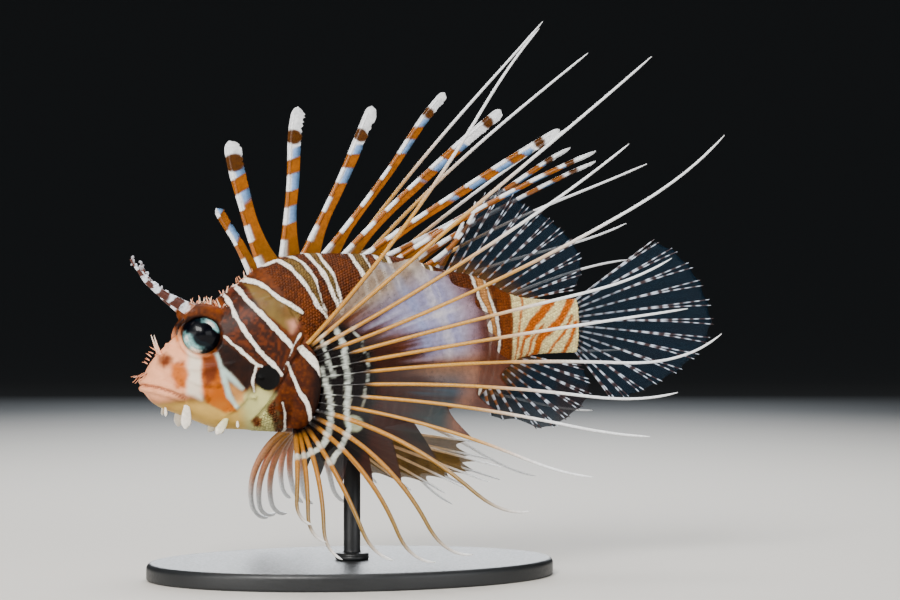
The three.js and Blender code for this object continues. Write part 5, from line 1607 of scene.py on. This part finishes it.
class LIONFISH_OT_pectorals(LionfishOperator, bpy.types.Operator):
    """The two pectoral fans: long free rays with white ends, joined near the body by a membrane"""

    bl_idname = "lionfish.pectorals"
    bl_label = "Pectoral fins"

    def build(self, sizes, tints):
        for side, word, table in ((-1, "left", NEAR_PECTORAL), (1, "right", FAR_PECTORAL)):
            count = len(table)
            angles = np.radians(np.linspace(SHOULDER["top"], SHOULDER["end"], count))
            lines, reaches = [], np.array([row[5] for row in table])
            shape = Shape()
            for i, (heading, length, bend, hook, out, _) in enumerate(table):
                line = ray_line(shoulder_root(angles[i], side), heading, length, bend, hook, side * out)
                lines.append(line)
                thick = sizes.ray_radius * (1.0 if i < 10 else 1.25 if side < 0 else 1.8)
                hub = np.interp(i, *np.array(HUB_ON_RAYS).T)
                ray_tubes(shape, line, thick, 0.48, index=i, length=length, sides=10, sunk=hub if hub > 5 else -9)

            def paint(cloud, way, share, ray, long):
                coat = np.tile(tints["ray"], (len(way), 1))
                lower = step_soft(8.5, 12, ray)
                lay(coat, tints["flag"], lower * 0.6 + (1 - lower) * 0.35 * step_soft(45, 5, way))
                far_low = (ray > 9) * (side > 0)
                white = np.interp(ray, [0, 8, 9, 10, 16], [0.42, 0.44, 0.55, 0.76, 0.78])
                white = mix(white, 0.42, far_low)
                lay(coat, tints["olive"], 0.85 * (side < 0) * (ray > 9) * step_soft(0.3, 0.75, share))
                # The far lower rays are lighter salmon: partly their own colour, partly painted light on rays that the
                # body shades.
                lay(coat, tints["snout"], 0.75 * far_low * step_soft(0.05, 0.35, share))
                lay(coat, tints["ray_tip"], step_soft(white, white + 0.3, share))
                hub = np.interp(ray, *np.array(HUB_ON_RAYS).T) * (1 - far_low)
                lay(coat, tints["hub"], step_soft(hub + 1.5, hub - 1.5, way + 0.8 * noise(cloud, 2, 1)) * (hub > 1))
                rings = rings_at(ray, way + 0.3 * noise(cloud, 2, 3)) * (hub > 1)
                lay(coat, mix(tints["teal"], tints["white"], 0.5), rings * 0.7)
                return coat

            build_rays(f"pectoral_rays_{word}", shape, paint, [f"pectoral_fin_{word}"])
            sails = np.interp(np.arange(count - 1), *np.array(SAILS).T)
            grid, share, place = web_grid(lines, reaches, 70, sizes.web_columns, 0.94, 0.03 * side, sails)
            lengths = np.interp(place, np.arange(count), np.array(table)[:, 1] * reaches)
            coat, alpha = fan_colours(grid, share * lengths, share, place, tints)
            build_web(f"pectoral_membrane_{word}", grid, sizes.web_thickness, coat, through_one_face(alpha))


def soft_fin(name, lines, lengths, sizes, tints, style, nodes):
    """A fin of soft rays that fork and carry white dots, with its membrane."""
    shape = Shape()
    count = len(lines)
    spines, radius = style.get("spines", 0), style["radius"]
    for i, line in enumerate(lines):
        if i < spines:
            ray_tubes(shape, line, radius * 1.7, 0.35, index=i, length=lengths[i])
            continue
        rows = np.linspace(0, 1, 49)
        spread = style["spread"] * np.clip((rows - 0.4) / 0.6, 0, 1)[:, None] ** 1.1
        for other in (i - 1, i + 1):
            neighbour = lines[other] if spines <= other < count else 2 * line - lines[2 * i - other]
            fork = at(line, rows) + (at(neighbour, rows) - at(line, rows)) * spread
            ray_tubes(shape, fork, radius, 0.5, index=i, length=lengths[i], sides=6)

    def paint(cloud, way, share, ray, long):
        period = style["period"]
        shift = np.mod(ray * 0.37, 1.0) * period * 0.5
        duty = mix(style["duty"][0], style["duty"][1], share)
        phase = np.mod(way + shift, period) / period
        dot = step_soft(0.05, -0.05, np.abs(phase - 0.5) - duty / 2)
        coat = np.tile(mix(tints["ray_gap"], tints["navy"], 0.35), (len(way), 1))
        lay(coat, tints["flag"], step_soft(style["orange"] + 4, style["orange"] - 4, way))
        lay(coat, mix(tints["ray_tip"], tints["sky"], 0.35), dot * (0.75 + 0.25 * share))
        return coat

    build_rays(f"{name}_rays", shape, paint, nodes)
    grid, share, place = web_grid(lines, np.full(count, style["reach"]), 30, 6, style["scallop"], 0.0)
    coat = np.tile(tints["navy"], (share.size, 1))
    way = (share * np.interp(place, np.arange(count), lengths)).ravel()
    lay(coat, tints["flag_base"], step_soft(style["orange"], 0, way) * 0.8)
    lay(coat, tints["plum"], step_soft(-0.2, 0.8, noise(grid.reshape(-1, 3), 6, 2)) * style["warm"])
    alpha = mix(style["alpha"], 0.95, step_soft(style["orange"], 0, way))
    build_web(f"{name}_membrane", grid, sizes.web_thickness, coat, through_one_face(alpha))


class LIONFISH_OT_soft_fins(LionfishOperator, bpy.types.Operator):
    """Soft dorsal, anal and tail fins with dotted, forking rays in a dark membrane"""

    bl_idname = "lionfish.soft_fins"
    bl_label = "Soft fins"

    def build(self, sizes, tints):
        def lines_of(table, roots, bend=0):
            return [ray_line(root, heading, length, bend, 0, 0) for (heading, length), root in zip(table, roots)]

        x = np.linspace(28.5, 51.5, len(SOFT_DORSAL))
        roots = [np.array([p, 0, float(along(TOP, p)) - ROOT_DEPTH]) for p in x]
        style = {
            "radius": 0.3, "period": 3.3, "duty": (0.62, 0.36), "orange": 8, "reach": 0.985, "scallop": 0.985,
            "alpha": 0.86, "spread": 0.17, "warm": 0.1,
        }
        soft_fin("soft_dorsal", lines_of(SOFT_DORSAL, roots), [r[1] for r in SOFT_DORSAL], sizes, tints, style,
                 ["soft_dorsal_fin"])
        x = np.linspace(40.5, 51.5, len(ANAL))
        roots = [np.array([p, 0, float(along(BOTTOM, p)) + ROOT_DEPTH]) for p in x]
        style = {
            "radius": 0.34, "period": 3.4, "duty": (0.55, 0.4), "orange": 8, "reach": 0.98, "scallop": 0.985,
            "alpha": 0.9, "spines": 3, "spread": 0.15, "warm": 0.6,
        }
        soft_fin("anal", lines_of(ANAL, roots), [r[1] for r in ANAL], sizes, tints, style, ["anal_fin"])
        z = np.linspace(81.4, 67, len(CAUDAL))
        roots = [np.array([TAIL_END - 1, 0, p]) for p in z]
        table = [[heading, length + GAP + 1] for heading, length in CAUDAL]
        style = {
            "radius": 0.33, "period": 3.6, "duty": (0.78, 0.36), "orange": 1, "reach": 0.985, "scallop": 0.985,
            "alpha": 0.88, "spread": 0.15, "warm": 0.1,
        }
        soft_fin("tail", lines_of(table, roots, -4), [r[1] for r in table], sizes, tints, style, ["caudal_fin"])


class LIONFISH_OT_pelvics(LionfishOperator, bpy.types.Operator):
    """The two pelvic fins: brown membrane and ochre rays with white ends"""

    bl_idname = "lionfish.pelvics"
    bl_label = "Pelvic fins"

    def build(self, sizes, tints):
        for side, word, table in ((-1, "left", LEFT_PELVIC), (1, "right", RIGHT_PELVIC)):
            lines = []
            shape = Shape()
            for i, (heading, length) in enumerate(table):
                x = mix(-10.5, -4, i / (len(table) - 1))
                root = np.array([x, side * PELVIC_SPREAD, float(belly(x, PELVIC_SPREAD)) + ROOT_DEPTH])
                line = ray_line(root, heading, length, 0, 0, side * (6 + 0.2 * length))
                lines.append(line)
                ray_tubes(shape, line, 0.75 if i == 0 else 0.6, 0.4, index=i, length=length)

            def paint(cloud, way, share, ray, long):
                # The rays are paled with cream: partly their own colour, partly painted light on rays that the pectoral
                # fin shades.
                coat = np.tile(mix(tints["ray"], tints["cream"], 0.35), (len(way), 1))
                lay(coat, tints["amber"], 0.25 * step_soft(0.7, 0.2, share))
                lay(coat, tints["ray_tip"], step_soft(0.68, 0.84, share))
                return coat

            build_rays(f"pelvic_rays_{word}", shape, paint, [f"pelvic_fin_{word}"])
            grid, share, place = web_grid(lines, np.full(len(lines), 0.86), 30, sizes.web_columns, 0.9, 0.02 * side)
            coat = np.tile(mix(tints["flag_base"], tints["olive"], 0.5), (share.size, 1))
            lay(coat, tints["pelvic"], step_soft(0, 0.8, noise(grid.reshape(-1, 3), 5, 3)) * 0.6)
            alpha = np.full(share.size, 0.92)
            build_web(f"pelvic_membrane_{word}", grid, sizes.web_thickness, coat, through_one_face(alpha))


def lathe(name, profile, around, squash_y=1.0):
    """A turned piece from [radius, z] points, closed on the axis."""
    a = 2 * np.pi * np.arange(around) / around
    profile = np.asarray(profile, float)
    ring = np.stack([
        np.outer(profile[:, 0], np.cos(a)), np.outer(profile[:, 0], np.sin(a)) * squash_y,
        np.outer(profile[:, 1], np.ones(around)),
    ], 2).reshape(-1, 3)
    points = np.vstack([ring, [[0, 0, profile[0, 1]], [0, 0, profile[-1, 1]]]])
    count = len(ring)
    j = np.arange(around)
    foot = np.stack([np.full(around, count), (j + 1) % around, j], 1)
    head = np.stack([np.full(around, count + 1), count - around + j, count - around + (j + 1) % around], 1)
    shape = Shape()
    shape.add(points, [grid_faces(len(profile), around, wrap=True)[:, ::-1], foot, head])
    return make_mesh(name, points, shape.faces, finish("powder_coated_steel"), smooth=True)


def rounded(x, z, radius, start, end, count=8):
    """Points of an arc in a profile, round a centre, between two angles in degrees."""
    turn = np.radians(np.linspace(start, end, count))
    return [[x + radius * math.cos(t), z + radius * math.sin(t)] for t in turn]


class LIONFISH_OT_stand(LionfishOperator, bpy.types.Operator):
    """The display stand: an oval base with eased edges, and a rod in a collar"""

    bl_idname = "lionfish.stand"
    bl_label = "Display stand"

    def build(self, sizes, tints):
        low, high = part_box("stand_base")
        radius, height = high.x / MM, high.z / MM
        squash = high.y / high.x
        profile = [[radius - 3, 0.0]]
        profile += rounded(radius - 0.8, 0.8, 0.8, -90, 0, 5)
        profile += rounded(radius - 1.6, height - 1.6, 1.6, 0, 90, 10)
        profile += [[radius - 6, height], [2, height]]
        base = lathe("stand_plinth", [[2, 0.0]] + profile, 160, squash)
        settle(base, "stand", "stand_base")
        low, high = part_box("stand_rod")
        collar, foot = high.x / MM, low.z / MM
        top = float(along(BOTTOM, 0)) + 0.6
        profile = [[1, foot - GAP], [collar - 0.4, foot - GAP], [collar, foot], [collar, foot + 1.0]]
        profile += rounded(collar - 0.8, foot + 1.0, 0.8, 0, 90, 6)
        profile += rounded(3.1, foot + 2.4, 0.6, 270, 180, 6)
        profile += [[2.5, foot + 3.2], [2.5, top], [1, top]]
        rod = lathe("stand_post", profile, 48)
        settle(rod, "stand", "stand_rod")


class LIONFISH_OT_stage(bpy.types.Operator):
    """Pale floor that sweeps up into a dark backdrop, soft lights and the photo's camera"""

    bl_idname = "lionfish.stage"
    bl_label = "Stage"

    def execute(self, context):
        scene = context.scene
        made, tree, shader = new_material("studio_paint")
        set_shader(shader, Roughness=0.85)
        place = add_node(tree, "ShaderNodeTexCoord")
        away = add_node(tree, "ShaderNodeVectorMath", {"operation": "LENGTH"}, Vector=place.outputs["Object"])
        # Pale round the model, and dark slate from 1.2 m away.
        dusk = add_node(
            tree, "ShaderNodeMapRange", {"interpolation_type": "SMOOTHSTEP", "From Min": 0.25, "From Max": 1.2},
            Value=away.outputs["Value"],
        )
        tint = add_node(
            tree, "ShaderNodeMix",
            {"data_type": "RGBA", 6: (*linear(0xCFCBC4), 1), 7: (*linear(0x101519), 1)}, i0=dusk.outputs[0],
        )
        tree.links.new(shader.inputs["Base Color"], tint.outputs[2])
        around, floor_radius, wall_radius, wall_height = 96, 1700.0, 2500.0, 2600.0
        bend = wall_radius - floor_radius
        profile = np.array([[0.5, 0.0]] + rounded(floor_radius, bend, bend, -90, 0, 32) + [[wall_radius, wall_height]])
        a = 2 * np.pi * np.arange(around) / around
        ring = np.stack([
            np.outer(profile[:, 0], np.cos(a)), np.outer(profile[:, 0], np.sin(a)),
            np.outer(profile[:, 1], np.ones(around)),
        ], 2).reshape(-1, 3)
        sweep = make_mesh("studio_sweep", ring, grid_faces(len(profile), around, wrap=True).tolist(), made)
        lights = [
            ("key", (-0.62, -1.05, 0.95), 0.55, 30.0, (1.0, 0.98, 0.95)),
            ("fill", (0.7, -1.05, 0.16), 0.9, 8.0, (0.97, 0.98, 1.0)),
            ("top", (0.1, 0.25, 1.3), 0.8, 16.0, (1.0, 1.0, 1.0)),
            ("back", (0.3, 1.2, 0.5), 0.7, 12.0, (0.92, 0.96, 1.0)),
            ("low", (-0.75, -0.5, 0.1), 0.5, 4.0, (1.0, 0.99, 0.97)),
        ]
        aim = Vector((0.01, 0, 0.08))
        for name, place, size, watts, tint in lights:
            lamp = bpy.data.lights.new(name, "AREA")
            lamp.size = size
            lamp.energy = watts
            lamp.color = tint
            obj = bpy.data.objects.new(name, lamp)
            obj.location = place
            obj.rotation_euler = (aim - Vector(place)).to_track_quat("-Z", "Y").to_euler()
            scene.collection.objects.link(obj)
        world = bpy.data.worlds.new("studio")
        world.use_nodes = True
        sky = world.node_tree.nodes["Background"]
        sky.inputs["Color"].default_value = (*linear(0xBFC6CC), 1)
        sky.inputs["Strength"].default_value = 0.16
        scene.world = world
        camera = bpy.data.cameras.new("photo_camera")
        camera.sensor_width = 36
        camera.lens = PHOTO["focal"] * camera.sensor_width / PHOTO["width"]
        camera.dof.use_dof = False
        eye = bpy.data.objects.new("photo_camera", camera)
        turn = math.radians(PHOTO["azimuth"])
        back = PHOTO["distance"] * MM
        eye.location = (AIM[0] * MM + back * math.sin(turn), -back * math.cos(turn), AIM[2] * MM)
        eye.rotation_euler = (math.radians(90), 0, turn)
        scene.collection.objects.link(eye)
        scene.camera = eye
        return {"FINISHED"}


OPERATORS = [
    LIONFISH_OT_skin, LIONFISH_OT_scales, LIONFISH_OT_flaps, LIONFISH_OT_tentacles, LIONFISH_OT_eyes, LIONFISH_OT_dorsal,
    LIONFISH_OT_pectorals, LIONFISH_OT_soft_fins, LIONFISH_OT_pelvics, LIONFISH_OT_stand, LIONFISH_OT_stage,
]


class LIONFISH_PT_panel(bpy.types.Panel):
    """Buttons for each piece of the model, with its sizes and colours"""

    bl_idname = "LIONFISH_PT_panel"
    bl_label = "Lionfish"
    bl_space_type = "VIEW_3D"
    bl_region_type = "UI"
    bl_category = "Lionfish"

    def draw(self, context):
        for group in (context.scene.lionfish_sizes, context.scene.lionfish_colours):
            box = self.layout.box()
            for name in type(group).__annotations__:
                box.prop(group, name)
        for operator in OPERATORS:
            self.layout.operator(operator.bl_idname)


CLASSES = [LionfishColours, LionfishSizes, *OPERATORS, LIONFISH_PT_panel]


def register():
    for made in CLASSES:
        bpy.utils.register_class(made)
    bpy.types.Scene.lionfish_colours = PointerProperty(type=LionfishColours)
    bpy.types.Scene.lionfish_sizes = PointerProperty(type=LionfishSizes)


def unregister():
    del bpy.types.Scene.lionfish_sizes
    del bpy.types.Scene.lionfish_colours
    for made in reversed(CLASSES):
        bpy.utils.unregister_class(made)


def main():
    register()
    for operator in OPERATORS:
        run = getattr(bpy.ops.lionfish, operator.bl_idname.split(".")[1])
        if run() != {"FINISHED"}:
            raise RuntimeError(f"{operator.bl_label} did not finish")


if __name__ == "__main__":
    main()
